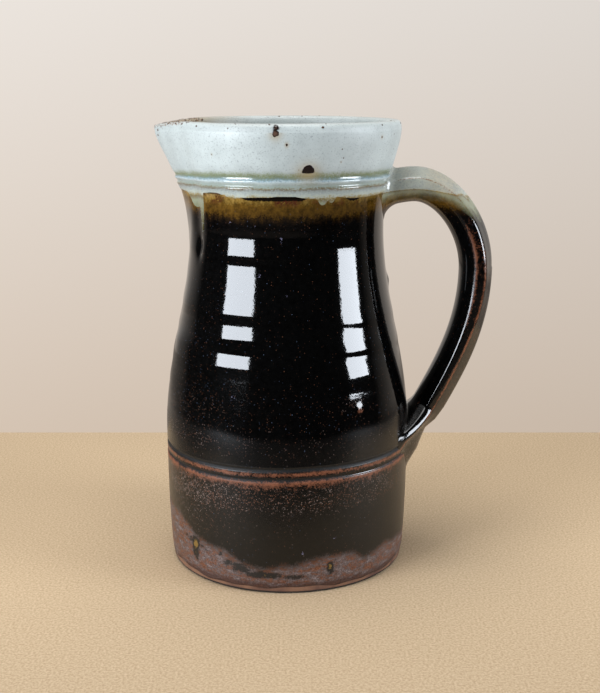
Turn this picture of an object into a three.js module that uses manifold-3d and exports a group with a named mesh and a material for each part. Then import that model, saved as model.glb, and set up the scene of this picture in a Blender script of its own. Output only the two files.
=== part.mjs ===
// A hand-thrown stoneware jug: thrown body with a pulled spout, pulled strap handle, three coats of glaze.
// Millimetres, +Z up. The origin is the centre of the foot, the spout points to -X and the handle to +X.
import * as THREE from "three";
import { mergeVertices } from "three/addons/utils/BufferGeometryUtils.js";
import Module from "manifold-3d";

// Thrown body, measured on the bare clay
const height = 219;
const bellyRadius = 60.3;
const bellyHeight = 68;
const footTuck = 2;
const footBevel = 1.2;
const waistTuck = 13.7;
const collarHeight = 50;
const collarFlare = 7.8;
const collarSweep = 1.5;
const wallThickness = 5;
const floorThickness = 7;
const floorFillet = 10;

// Two lines incised round the belly while the pot was on the wheel
const girdleHeight = 60.9;
const girdleSpacing = 5.4;
const girdleWidth = 2.6;
const girdleDepth = 0.9;

// Spout, pulled outwards from the rim between two fingers
const spoutReach = 8.1;
const spoutDepth = 62;
const spoutDrop = 2.3;
const spoutSweep = 1.5;
const spoutTipRound = 4 * THREE.MathUtils.DEG2RAD;
const pinchDepth = 1.3;
const pinchAngle = 29 * THREE.MathUtils.DEG2RAD;
const pinchSpread = 7 * THREE.MathUtils.DEG2RAD;

// Handle, a strap pulled from a lump of clay: its centre line and its section
const handleRootDrop = 33;
const handleCrestOut = 15;
const handleCrestRise = 3;
const handleStandOff = 33.3;
const handleReachDrop = 38;
const handleBelly = 0.39;
const handleTailHeight = 64;
const handleTailLift = 3.7;
const handleTailLean = 28.4 * THREE.MathUtils.DEG2RAD;
const handleRootThickness = 13;
const handleTailThickness = 10.5;
const handleWidth = 22.5;
const handleSquareness = 3;
const handleUnderFlare = 7;
const handleTopFlare = 2.5;
const handleFlareLength = 13;
const fishtailWidth = 40;
const fishtailLength = 34;
const fishtailThinning = 0.5;

// Glaze coats and the slits between neighbouring pieces
const glazeThickness = 0.7;
const glazeFootLine = 3;
const dipDepth = 33;
const seam = 0.3;

// Fineness of the facets
const segments = 36;
const spoutCrowding = 0.35;
const footStep = 18;
const wallStep = 13;
const insideStep = 15;
const lipSteps = 5;
const filletSteps = 3;
const handleRings = 28;
const handleSides = 16;

const footRadius = bellyRadius - footTuck;
const waistRadius = bellyRadius - waistTuck;
const rimRadius = waistRadius + collarFlare;
const rimHeight = height - wallThickness / 2;
const waistHeight = height - collarHeight;
const dipHeight = height - dipDepth;
const girdleHalf = girdleWidth / 2;
const girdleLines = [girdleHeight - girdleSpacing / 2, girdleHeight + girdleSpacing / 2];
const handleRootHeight = height - handleRootDrop;
const handleReachHeight = handleRootHeight - handleReachDrop;

const wasm = await Module();
wasm.setup();

function ease(share) {
  return THREE.MathUtils.smoothstep(share, 0, 1);
}

// Outer radius of the clay wall at a height: a swell to the belly, an S-curve to the waist, a flared collar
function wallRadius(z) {
  if (z < bellyHeight) {
    const below = 1 - Math.max(0, z) / bellyHeight;
    return bellyRadius - (bellyRadius - footRadius) * below ** 3;
  }
  if (z < waistHeight) {
    const up = (z - bellyHeight) / (waistHeight - bellyHeight);
    return THREE.MathUtils.lerp(bellyRadius, waistRadius, ease(up));
  }
  const flare = Math.min(1, (z - waistHeight) / (rimHeight - waistHeight));
  return THREE.MathUtils.lerp(waistRadius, rimRadius, ease(flare ** collarSweep));
}

// Depth of the two V-shaped lines at a height
function girdleCut(z) {
  const cuts = girdleLines.map((line) => Math.max(0, 1 - Math.abs(z - line) / girdleHalf));
  return girdleDepth * Math.max(...cuts);
}

// Share of the spout's full pull: none at its throat, all of it at the rim
function spoutRise(z) {
  return THREE.MathUtils.clamp((z - rimHeight) / spoutDepth + 1, 0, 1);
}

// How far the spout pushes the wall outwards. Its sides run straight from the rim's circle to a rounded tip.
function spoutBulge(angle, z) {
  const rise = spoutRise(z);
  const radius = wallRadius(z);
  const reach = spoutReach * rise ** spoutSweep;
  const spread = spoutTipRound + Math.acos(radius / (radius + reach));
  const inside = Math.max(0, spread - Math.hypot(angle, spoutTipRound));
  const crease = Math.exp(-(((Math.abs(angle) - pinchAngle) / pinchSpread) ** 2));
  return radius / Math.cos(inside) - radius - pinchDepth * crease * Math.sin(Math.PI * rise);
}

// How far the lip sinks where the spout is pulled
function spoutDip(angle, z) {
  return (spoutDrop * Math.max(0, spoutBulge(angle, z)) * spoutRise(z) ** 3) / spoutReach;
}

function evenly(from, to, step) {
  const count = Math.max(1, Math.round(Math.abs(to - from) / step));
  return Array.from({ length: count + 1 }, (_, i) => THREE.MathUtils.lerp(from, to, i / count));
}

const outerHeights = [
  ...evenly(footBevel, girdleLines[0] - girdleHalf, footStep),
  girdleLines[0],
  girdleLines[0] + girdleHalf,
  girdleLines[1] - girdleHalf,
  girdleLines[1],
  ...evenly(girdleLines[1] + girdleHalf, rimHeight, wallStep),
];

// Outside of the clay wall, grown by an offset, from the foot to the rim
function outerProfile(offset) {
  const wall = outerHeights.map((z) => new THREE.Vector2(wallRadius(z) - girdleCut(z) + offset, z));
  return [new THREE.Vector2(footRadius - footBevel + offset, 0), ...wall];
}

// Round lip and inside of the clay wall, grown by an offset, from the rim down to the middle of the floor
function innerProfile(offset) {
  const lipRadius = wallThickness / 2;
  const lip = new THREE.Path().absarc(rimRadius - lipRadius, rimHeight, lipRadius + offset, 0, Math.PI);
  const fillet = Math.min(floorFillet, footRadius - wallThickness - offset);
  const floor = floorThickness + offset;
  const corner = wallRadius(floor + fillet) - wallThickness - offset - fillet;
  const inside = evenly(rimHeight, floor + fillet, insideStep).slice(1);
  const bend = new THREE.Path().absarc(corner, floor + fillet, fillet, 0, -Math.PI / 2, true);
  return [
    ...lip.getPoints(lipSteps).slice(1),
    ...inside.map((z) => new THREE.Vector2(wallRadius(z) - wallThickness - offset, z)),
    ...bend.getPoints(filletSteps).slice(1),
    new THREE.Vector2(0, floor),
  ];
}

function solidFrom(geometry) {
  geometry.deleteAttribute("normal");
  geometry.deleteAttribute("uv");
  const merged = mergeVertices(geometry, 1e-4);
  const index = merged.index.array;
  const triangles = [];
  for (let i = 0; i < index.length; i += 3) {
    const [a, b, c] = index.slice(i, i + 3);
    if (a !== b && b !== c && c !== a) triangles.push(a, b, c);
  }
  const vertProperties = merged.attributes.position.array;
  const triVerts = new Uint32Array(triangles);
  return new wasm.Manifold(new wasm.Mesh({ numProp: 3, vertProperties, triVerts }));
}

// Turns a profile about the jug's axis, then pulls the spout out of what was thrown
function thrown(profile) {
  const geometry = new THREE.LatheGeometry(profile, segments).rotateX(Math.PI / 2);
  const place = geometry.attributes.position;
  for (let i = 0; i < place.count; i++) {
    const z = place.getZ(i);
    const turned = Math.atan2(place.getY(i), -place.getX(i));
    const angle = turned - spoutCrowding * Math.sin(turned);
    const radius = Math.hypot(place.getX(i), place.getY(i));
    const share = THREE.MathUtils.smoothstep(radius, 0, waistRadius / 2);
    const pulled = radius + share * spoutBulge(angle, z);
    place.setXYZ(i, -pulled * Math.cos(angle), pulled * Math.sin(angle), z - share * spoutDip(angle, z));
  }
  return solidFrom(geometry);
}

function slab(bottom, top) {
  const span = 4 * (bellyRadius + handleStandOff + handleRootThickness);
  const geometry = new THREE.BoxGeometry(span, span, top - bottom);
  return solidFrom(geometry.translate(0, 0, (bottom + top) / 2));
}

// Centre line of the handle: out of the collar, over the arch, down past the belly and into the wall
function handleLine() {
  const root = new THREE.Vector3(wallRadius(handleRootHeight), 0, handleRootHeight);
  const start = root.clone().setX(root.x - 2 * wallThickness);
  const crest = new THREE.Vector3(root.x + handleCrestOut, 0, root.z + handleCrestRise);
  const reach = new THREE.Vector3(bellyRadius + handleStandOff, 0, handleReachHeight);
  const fall = new THREE.Vector3(-Math.sin(handleTailLean), 0, -Math.cos(handleTailLean));
  const landing = new THREE.Vector3(wallRadius(handleTailHeight) + handleTailLift, 0, handleTailHeight);
  const end = landing.clone().addScaledVector(fall, fishtailLength);
  const archWide = (reach.x - crest.x) / 2;
  const archTall = (crest.z - reach.z) / 2;
  const drop = (reach.z - landing.z) * handleBelly;
  const line = new THREE.CurvePath();
  line.add(new THREE.CubicBezierCurve3(
    start,
    start.clone().setX(root.x),
    crest.clone().setX(crest.x - handleCrestOut / 2),
    crest,
  ));
  line.add(new THREE.CubicBezierCurve3(
    crest,
    crest.clone().setX(crest.x + archWide),
    reach.clone().setZ(reach.z + archTall),
    reach,
  ));
  line.add(new THREE.CubicBezierCurve3(
    reach,
    reach.clone().setZ(reach.z - drop),
    landing.clone().addScaledVector(fall, -drop),
    landing,
  ));
  line.add(new THREE.LineCurve3(landing, end));
  return line;
}

function rounded(value) {
  return Math.sign(value) * Math.abs(value) ** (2 / handleSquareness);
}

// The strap, grown by an offset: a soft rectangle, thicker at the root, fanned out on the wall at the tail
function pulledStrap(offset) {
  const line = handleLine();
  const wall = wallRadius(handleRootHeight);
  const places = [];
  const triangles = [];
  for (let ring = 0; ring <= handleRings; ring++) {
    const along = ring / handleRings;
    const centre = line.getPointAt(along);
    const tangent = line.getTangentAt(along);
    const outward = new THREE.Vector3(-tangent.z, 0, tangent.x);
    const thickness = THREE.MathUtils.lerp(handleRootThickness, handleTailThickness, along);
    const onArch = centre.z > handleReachHeight;
    const nearRoot = 1 - Math.max(0, centre.x - wall) / handleFlareLength;
    const flare = onArch ? Math.max(0, nearRoot) ** 2 : 0;
    const nearTail = (handleTailHeight + fishtailLength / 2 - centre.z) / fishtailLength;
    const fan = onArch ? 0 : ease(nearTail);
    const width = THREE.MathUtils.lerp(handleWidth, fishtailWidth, fan) + 2 * flare * handleTopFlare;
    const halfWidth = width / 2 + offset;
    const curve = wallRadius(centre.z);
    for (let side = 0; side < handleSides; side++) {
      const turn = (side / handleSides) * 2 * Math.PI;
      const across = rounded(Math.cos(turn));
      const out = rounded(Math.sin(turn));
      const spread = flare * (out > 0 ? handleTopFlare : handleUnderFlare);
      const thinned = 1 - fishtailThinning * fan * across ** 2;
      const y = across * halfWidth;
      const wrap = fan * (curve - Math.sqrt(Math.max(0, curve ** 2 - y ** 2)));
      const raised = out * (thickness / 2 + spread + offset) * thinned;
      const place = centre.clone().addScaledVector(outward, raised);
      places.push(place.x - wrap, y, place.z);
      if (ring === handleRings) continue;
      const next = (side + 1) % handleSides;
      const here = ring * handleSides;
      const after = here + handleSides;
      triangles.push(here + side, here + next, after + next, here + side, after + next, after + side);
    }
  }
  const last = handleRings * handleSides;
  for (let side = 1; side < handleSides - 1; side++) {
    triangles.push(0, side + 1, side);
    triangles.push(last, last + side, last + side + 1);
  }
  const geometry = new THREE.BufferGeometry();
  geometry.setAttribute("position", new THREE.Float32BufferAttribute(places, 3));
  geometry.setIndex(triangles);
  return solidFrom(geometry);
}

const clayWall = thrown([new THREE.Vector2(0, 0), ...outerProfile(0), ...innerProfile(0)]);

// Solid to the middle of the wall, which parts the inside of the jug from the outside
const core = thrown([
  new THREE.Vector2(0, floorThickness / 2),
  ...[floorThickness / 2, ...outerHeights.filter((z) => z > floorThickness)].map(
    (z) => new THREE.Vector2(wallRadius(z) - wallThickness / 2, z),
  ),
  new THREE.Vector2(rimRadius - wallThickness / 2, height + wallThickness),
  new THREE.Vector2(0, height + wallThickness),
]);

// The whole jug in clay, grown by an offset
function grown(offset) {
  const wall = thrown([new THREE.Vector2(0, 0), ...outerProfile(offset), ...innerProfile(offset)]);
  return wall.add(pulledStrap(offset).subtract(core));
}

const handleSeat = thrown([
  new THREE.Vector2(0, 0),
  ...outerProfile(seam),
  new THREE.Vector2(0, rimHeight),
]);
const clayHandle = pulledStrap(0).subtract(handleSeat);

const coat = grown(seam + glazeThickness).subtract(grown(seam));
const aboveDip = slab(dipHeight, 2 * height);
const belowDip = slab(0, dipHeight - seam);
const outsideBelowDip = slab(glazeFootLine, dipHeight - seam);

const clay = new THREE.MeshStandardMaterial({ color: 0xb5855f, roughness: 0.9, metalness: 0 });
const darkGlaze = new THREE.MeshStandardMaterial({ color: 0x120d0b, roughness: 0.12, metalness: 0 });
const paleGlaze = new THREE.MeshStandardMaterial({ color: 0xc6cec9, roughness: 0.35, metalness: 0 });
const insideGlaze = new THREE.MeshStandardMaterial({ color: 0xb4b5a2, roughness: 0.3, metalness: 0 });

function piece(name, solid, material) {
  const { numProp, vertProperties, triVerts } = solid.getMesh();
  const places = new THREE.InterleavedBuffer(vertProperties, numProp);
  const geometry = new THREE.BufferGeometry();
  geometry.setAttribute("position", new THREE.InterleavedBufferAttribute(places, 3, 0));
  geometry.setIndex(new THREE.BufferAttribute(triVerts, 1));
  const mesh = new THREE.Mesh(geometry, material);
  mesh.name = name;
  return mesh;
}

const jug = new THREE.Group();
jug.add(
  piece("thrown_body", clayWall, clay),
  piece("handle", clayHandle, clay),
  piece("tenmoku_glaze", coat.subtract(core).intersect(outsideBelowDip), darkGlaze),
  piece("rim_glaze", coat.intersect(aboveDip), paleGlaze),
  piece("liner_glaze", coat.intersect(core).intersect(belowDip), insideGlaze),
);

export default jug;
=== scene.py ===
import math
from functools import partial

import bmesh
import bpy
import numpy as np
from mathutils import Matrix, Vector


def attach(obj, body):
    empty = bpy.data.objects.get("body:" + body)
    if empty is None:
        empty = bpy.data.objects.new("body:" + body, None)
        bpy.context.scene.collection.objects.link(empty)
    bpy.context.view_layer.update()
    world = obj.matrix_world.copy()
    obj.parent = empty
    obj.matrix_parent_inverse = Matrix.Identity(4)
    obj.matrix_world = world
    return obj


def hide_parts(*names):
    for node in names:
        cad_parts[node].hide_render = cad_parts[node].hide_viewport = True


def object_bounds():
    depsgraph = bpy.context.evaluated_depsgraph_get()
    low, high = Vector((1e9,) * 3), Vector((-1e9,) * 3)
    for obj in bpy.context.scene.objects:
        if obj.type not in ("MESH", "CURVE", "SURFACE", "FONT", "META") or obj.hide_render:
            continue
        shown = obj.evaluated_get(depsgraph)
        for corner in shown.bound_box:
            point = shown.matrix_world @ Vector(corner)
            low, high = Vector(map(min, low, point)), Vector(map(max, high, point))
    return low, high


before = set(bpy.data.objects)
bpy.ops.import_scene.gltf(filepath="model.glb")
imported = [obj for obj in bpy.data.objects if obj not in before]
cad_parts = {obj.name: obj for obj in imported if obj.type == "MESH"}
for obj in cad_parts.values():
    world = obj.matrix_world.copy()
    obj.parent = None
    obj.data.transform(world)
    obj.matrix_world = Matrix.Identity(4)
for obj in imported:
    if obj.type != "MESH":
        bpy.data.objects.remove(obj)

cadBox = [list(corner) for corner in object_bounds()]
drawnHeight = 220.0                                        # height of the glazed jug, in mm
mm = (cadBox[1][2] - cadBox[0][2]) / drawnHeight           # metres for one drawn millimetre
scene = bpy.context.scene
scene.view_settings.view_transform = "Standard"


# Small helpers. Heights (z) and sizes are in mm. Azimuths (a) are radians in grids and degrees in tables:
# 0 faces the camera, -90 the spout, 90 the handle.

def linear(hexColour):
    channels = [int(hexColour[i:i + 2], 16) / 255 for i in (1, 3, 5)]
    return tuple(c / 12.92 if c <= 0.04045 else ((c + 0.055) / 1.055) ** 2.4 for c in channels) + (1.0,)


# Adds a node. A list fills its live inputs in order, a dictionary goes by name or number. Returns its first
# live output, the one that out counts to, or all of them where out is None.
def addNode(tree, kind, links=(), out=0, **settings):
    node = tree.nodes.new(kind if "Node" in kind else "ShaderNode" + kind)
    for name, value in settings.items():
        setattr(node, name, value)
    if isinstance(links, dict):
        pairs = [(node.inputs[name], value) for name, value in links.items()]
    else:
        pairs = zip([socket for socket in node.inputs if socket.enabled], links)
    for socket, value in pairs:
        if isinstance(value, bpy.types.NodeSocket):
            tree.links.new(value, socket)
        else:
            socket.default_value = value
    live = [socket for socket in node.outputs if socket.enabled]
    return live[out] if live and out is not None else node.outputs


def ease(share):
    share = np.clip(share, 0.0, 1.0)
    return share * share * (3.0 - 2.0 * share)


def hump(value, centre, width):
    return np.exp(-((value - centre) / width) ** 2)


def easeAbove(value, limit, fade):
    return ease((value - limit) / fade)


def easeBelow(value, limit, fade):
    return ease((limit - value) / fade)


# One between low and high, with a fade inside each
def within(value, low, high, fadeIn, fadeOut):
    return easeAbove(value, low, fadeIn) * easeBelow(value, high, fadeOut)


# Reads a table of (place, value) pairs
def follow(table, place):
    return np.interp(place, *np.array(table, float).T)


def degreesApart(a, centre):
    return (np.degrees(a) - centre + 180.0) % 360.0 - 180.0


def azimuths(count):
    return np.linspace(-math.pi, math.pi, count, endpoint=False)[None, :]


# A wander round the jug, from waves of (height, count, phase)
def waved(a, waves):
    return sum(tall * np.sin(count * a + phase) for tall, count, phase in waves)


# A smooth piece from places in mm, with its faces turned outwards
def makePiece(name, places, faces, attributes, material=None):
    mesh = bpy.data.meshes.new(name)
    mesh.from_pydata((places * mm).tolist(), [], faces)
    for label, values in attributes.items():
        mesh.attributes.new(label, "FLOAT", "POINT").data.foreach_set("value", values.astype(np.float32))
    form = bmesh.new()
    form.from_mesh(mesh)
    bmesh.ops.recalc_face_normals(form, faces=form.faces)
    form.to_mesh(mesh)
    form.free()
    mesh.shade_smooth()
    if material:
        mesh.materials.append(material)
    piece = bpy.data.objects.new(name, mesh)
    scene.collection.objects.link(piece)
    return piece


# Skins a grid of rings. The rings join up end to end, or each end closes on a middle point.
def skin(name, points, looped, attributes, material=None):
    rows, columns = points.shape[:2]
    row = np.arange(rows if looped else rows - 1)[:, None]
    column = np.arange(columns)[None, :]
    after = (row + 1) % rows * columns
    beside = (column + 1) % columns
    corners = (row * columns + column, row * columns + beside, after + beside, after + column)
    faces = np.stack(corners, axis=-1).reshape(-1, 4).tolist()
    places = points.reshape(-1, 3)
    shape = (rows, columns)
    spread = {label: np.broadcast_to(values, shape).reshape(-1) for label, values in attributes.items()}
    if not looped:
        places = np.vstack([places, points[[0, -1]].mean(axis=1)])
        last = (rows - 1) * columns
        around = [(j, (j + 1) % columns) for j in range(columns)]
        faces += [(rows * columns, k, j) for j, k in around]
        faces += [(rows * columns + 1, last + j, last + k) for j, k in around]
        spread = {label: np.append(flat, [flat[0], flat[-1]]) for label, flat in spread.items()}
    return makePiece(name, places, faces, spread, material)


# A geometry tree with a named input for each value
def newTree(name, values):
    kinds = {float: "NodeSocketFloat", int: "NodeSocketInt", bpy.types.Material: "NodeSocketMaterial"}
    tree = bpy.data.node_groups.new(name, "GeometryNodeTree")
    tree.interface.new_socket("Geometry", in_out="INPUT", socket_type="NodeSocketGeometry")
    for label, value in values.items():
        tree.interface.new_socket(label, in_out="INPUT", socket_type=kinds[type(value)])
    tree.interface.new_socket("Geometry", in_out="OUTPUT", socket_type="NodeSocketGeometry")
    return tree, addNode(tree, "NodeGroupInput", out=None)


# Runs a tree on a piece, with its inputs given by name, and leaves a plain mesh
def applyNodes(piece, tree, values):
    modifier = piece.modifiers.new(tree.name, "NODES")
    modifier.node_group = tree
    for item in tree.interface.items_tree:
        if item.in_out == "INPUT" and item.name in values:
            modifier[item.identifier] = values[item.name]
    graph = bpy.context.evaluated_depsgraph_get()
    plain = bpy.data.meshes.new_from_object(
        piece.evaluated_get(graph), preserve_all_data_layers=True, depsgraph=graph)
    piece.modifiers.remove(modifier)
    plain.name = piece.name
    piece.data = plain


# The thrown form, as the solids have it, on the bare clay

pot = {
    "bellyRadius": 60.3, "bellyHeight": 68.0,
    "footRadius": 58.3,
    "waistRadius": 46.6, "waistHeight": 169.0,
    "rimRadius": 54.4, "rimHeight": 216.5, "collarSweep": 1.5,
    "wall": 5.0, "floor": 7.0, "floorFillet": 10.0,
    "coat": 1.0,                                           # glaze and the slit under it
    "dipLine": 186.3, "footLine": 3.0,
}
spout = {
    "azimuth": -90.0, "reach": 8.1, "depth": 62.0, "drop": 2.3, "sweep": 1.5,
    "tipRound": math.radians(4), "pinch": 1.3, "pinchAngle": 29.0, "pinchSpread": 7.0,
}


def wallRadius(z):
    z = np.asarray(z, float)
    below = 1.0 - np.clip(z, 0.0, pot["bellyHeight"]) / pot["bellyHeight"]
    swell = pot["bellyRadius"] - (pot["bellyRadius"] - pot["footRadius"]) * below ** 3
    up = ease((z - pot["bellyHeight"]) / (pot["waistHeight"] - pot["bellyHeight"]))
    flare = np.clip((z - pot["waistHeight"]) / (pot["rimHeight"] - pot["waistHeight"]), 0.0, 1.0)
    opened = ease(flare ** pot["collarSweep"]) * (pot["rimRadius"] - pot["waistRadius"])
    return swell + (pot["waistRadius"] - pot["bellyRadius"]) * up + opened


def spoutRise(z):
    return np.clip((z - pot["rimHeight"]) / spout["depth"] + 1.0, 0.0, 1.0)


def spoutPush(a, z):
    rise = spoutRise(z)
    radius = wallRadius(z)
    fromTip = degreesApart(a, spout["azimuth"])
    spread = spout["tipRound"] + np.arccos(radius / (radius + spout["reach"] * rise ** spout["sweep"]))
    inside = np.maximum(0.0, spread - np.hypot(np.radians(fromTip), spout["tipRound"]))
    crease = hump(np.abs(fromTip), spout["pinchAngle"], spout["pinchSpread"])
    return radius / np.cos(inside) - radius - spout["pinch"] * crease * np.sin(math.pi * rise)


def onAxis(a, radius, z):
    return np.stack([radius * np.sin(a), -radius * np.cos(a), z + 0.0 * a], axis=-1)


# Places a turned profile round the axis and pulls the spout out of it
def thrown(a, radius, z):
    push = spoutPush(a, z)
    sink = spout["drop"] * np.maximum(0.0, push) * spoutRise(z) ** 3 / spout["reach"]
    return onAxis(a, radius + push, z - sink)


# The lip is squarer than a half circle: powers of the sine and cosine of its turn
lipSquare = {"up": 0.7, "out": 0.6}

# Marks that the potter's hands and the fire left on the wall: a thumb's dent and two nubs of glaze
handPrints = [{"azimuth": -59.0, "height": 161.5, "wide": 2.4, "tall": 4.6, "proud": -1.1},
              {"azimuth": 88.0, "height": 142.3, "wide": 2.4, "tall": 3.0, "proud": 0.8},
              {"azimuth": 35.5, "height": 88.6, "wide": 2.0, "tall": 2.4, "proud": 0.3}]


def handMarks(a, z):
    raised = 0.0
    for mark in handPrints:
        beside = np.radians(degreesApart(a, mark["azimuth"])) * wallRadius(z)
        across = mark["proud"] * hump(beside, 0.0, mark["wide"])
        raised = raised + across * hump(z, mark["height"], mark["tall"])
    return raised


# Radius of the glazed outside, which the handle and the spots are set against
def glazedRadius(a, z):
    lip = pot["wall"] / 2 + pot["coat"]
    above = np.clip((z - pot["rimHeight"]) / lip, 0.0, 1.0)
    rounding = lip * (1.0 - (1.0 - above ** (2.0 / lipSquare["up"])) ** (lipSquare["out"] / 2.0))
    return wallRadius(z) + pot["coat"] + spoutPush(a, z) - rounding


# Materials. A look gives colour, roughness and relief in mm. The glazes share theirs, so that coats run on
# from the wall to the handle. The sources of a look are its noises, attributes and masks, by name.

# Noises go by size in mm, detail, roughness and, where they lie flat or hang, how they are squashed upright
def gatherSources(tree, noises, attributes=()):
    place = addNode(tree, "TexCoord", out=None)["Object"]
    place = addNode(tree, "VectorMath", {0: place, "Scale": 1.0 / mm}, operation="SCALE")
    sources = {"place": place, **dict(zip("xyz", addNode(tree, "SeparateXYZ", [place], out=None)))}
    for name, (size, detail, roughness, *squash) in noises.items():
        vector = place
        if squash:
            vector = addNode(tree, "Mapping", {"Vector": place, "Scale": (1.0, 1.0, *squash)})
        sources[name] = addNode(tree, "TexNoise", {
            "Vector": vector, "Scale": 1.0 / size, "Detail": detail, "Roughness": roughness})
    for name in attributes:
        sources[name] = addNode(tree, "Attribute", out=2, attribute_name=name)
    return sources


# A base with weighted noises added to it, mapped from a span of values
def mapSpan(tree, sources, base, weights, span):
    total = sources[base]
    for noise, weight in weights.items():
        total = addNode(tree, "Math", [sources[noise], weight, total], operation="MULTIPLY_ADD")
    return addNode(tree, "MapRange", [total, *span])


# Lays tints over a colour in turn. A layer is its name, base, weights, span and tint. Its mask joins the
# sources under its name.
def layTints(tree, sources, colour, layers):
    for name, base, weights, span, tint in layers:
        sources[name] = mapSpan(tree, sources, base, weights, span)
        tint = sources[tint] if tint in sources else linear(tint)
        colour = addNode(tree, "Mix", [sources[name], colour, tint], data_type="RGBA")
    return colour


# Grains in a share of the cells, each fading between two distances from its middle. Returns their mask and
# the random draws of the cells.
def scatterGrains(tree, place, size, share, fade):
    cell = addNode(tree, "TexVoronoi", {"Vector": place, "Scale": 1.0 / size}, out=None)
    draws = addNode(tree, "SeparateColor", [cell["Color"]], out=None)
    chosen = addNode(tree, "Math", [draws[0], share], operation="LESS_THAN")
    grain = addNode(tree, "MapRange", [cell["Distance"], *fade])
    return addNode(tree, "Math", [grain, chosen], operation="MULTIPLY"), draws


def fillRamp(ramp, stops):
    while len(ramp.elements) < len(stops):
        ramp.elements.new(0.5)
    for element, (at, colour) in zip(ramp.elements, stops):
        element.position = at
        element.color = linear(colour)


def makeMaterial(name, giveLook):
    material = bpy.data.materials.new(name)
    material.use_nodes = True
    tree = material.node_tree
    tree.nodes.clear()
    look = giveLook(tree)
    surface = {"Base Color": look["colour"], "Roughness": look["roughness"]}
    if "ior" in look:
        surface["IOR"] = look["ior"]
    if "relief" in look:
        bump = {"Strength": look.get("strength", 1.0), "Distance": look.get("depth", 1.0) * mm}
        surface["Normal"] = addNode(tree, "Bump", {**bump, "Height": look["relief"]})
    addNode(tree, "OutputMaterial", {"Surface": addNode(tree, "BsdfPrincipled", surface)})
    return material


# Tenmoku, an iron glaze fired to a black mirror. It breaks to rust where it is thin, runs amber under the
# pale dip, dulls to satin towards the girdle and is thick with small mauve crystals near the foot.
tenmoku = {
    "ior": 1.45, "gloss": 0.055, "satin": 0.145, "dry": 0.5, "crystalRough": 0.2, "rustRough": 0.22,
    "peelRelief": 0.017, "grainRelief": 0.06,
    "noises": {"streak": (2.2, 3.0, 0.5, 2.2 / 6.0), "grain": (0.75, 3.0, 0.65), "cloud": (14.0, 4.0, 0.5),
               "peel": (1.1, 1.0, 0.5), "blotch": (2.4, 4.0, 0.65), "patches": (6.0, 8.0, 0.84, 2.4)},
    "attributes": ("amberPaintedLight", "underDip", "speckle", "crystal", "smearAndGlint", "thin", "footGap", "drop", "satin"),
    "runs": [(0.0, "#040404"), (0.34, "#050404"), (0.47, "#1d1206"), (0.58, "#46300d"), (0.78, "#513910"),
             (0.9, "#735a28"), (1.0, "#786038")],
    "runRagged": {"streak": 6.0, "grain": 7.0}, "runSpan": (174.5, 194.5), "mottle": (0.34, 0.64, 0.5, 1.3),
    "crust": "#431c10", "crustWhere": [("cloud", (0.53, 0.6)), ("z", (182.4, 184.6)), ("grain", (0.4, 0.54))],
    # Painted shadow: the black line under the pale coat's edge, where the attribute underDip is small
    "dipLine": [("line", "underDip", {"grain": 1.6}, (1.5, 1.1), "#080402")],
    "speckSize": 0.72, "speckFade": (0.4, 0.15), "speckFaint": 2.6, "blueFrom": 0.75,
    "rustSpeck": "#5a3a2a", "blueSpeck": "#465062",
    "crystalSize": 0.6, "crystalFade": (0.62, 0.36), "crystalDrift": (0.36, 0.62, 0.25, 1.25),
    "crystalPale": (0.0, 1.0, 0.1, 0.82), "crystalCrowd": (0.1, 0.5, 0.28, 1.0), "crystal": "#8a756c",
    "rustCrystal": [("rusty", "cloud", {"crystalDraw": 0.3}, (0.56, 0.74), "#6d432d")],
    "thinPatchy": (0.36, 0.6, 0.72, 1.06),
    "footRust": "#5f3722", "footGrit": (0.32, 0.68, 0.4, 1.5),
    "footLayers": [("mauve", "patches", {}, (0.45, 0.52), "#524542"),
                   ("frost", "patches", {}, (0.54, 0.63), "#776866"),
                   ("lowLine", "z", {"patches": 8.0}, (10.4, 8.6, 0.0, 0.85), "#38201a")],
    # Lilac smears, a few of them painted highlights, rust over edges, the ragged dry foot, then drops of
    # olive glaze on it with black edges
    "upperLayers": [("smearedAndGlinting", "grain", {"smearAndGlint": 0.3}, (0.76, 0.9, 0.0, 0.7), "#8f8aa6"),
                    ("rust", "thinned", {"grain": 1.4, "blotch": 1.2}, (1.68, 2.2, 0.0, 0.85), "#7d4a31"),
                    ("foot", "footGap", {"grain": 9.0, "cloud": 6.0}, (9.2, 5.6), "footColour"),
                    ("dropEdge", "drop", {"grain": 1.2, "blotch": 1.1}, (1.55, 1.8), "#110b07"),
                    ("olive", "drop", {"grain": 1.2, "blotch": 1.1}, (2.16, 2.38), "#6d5320")],
}


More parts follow.
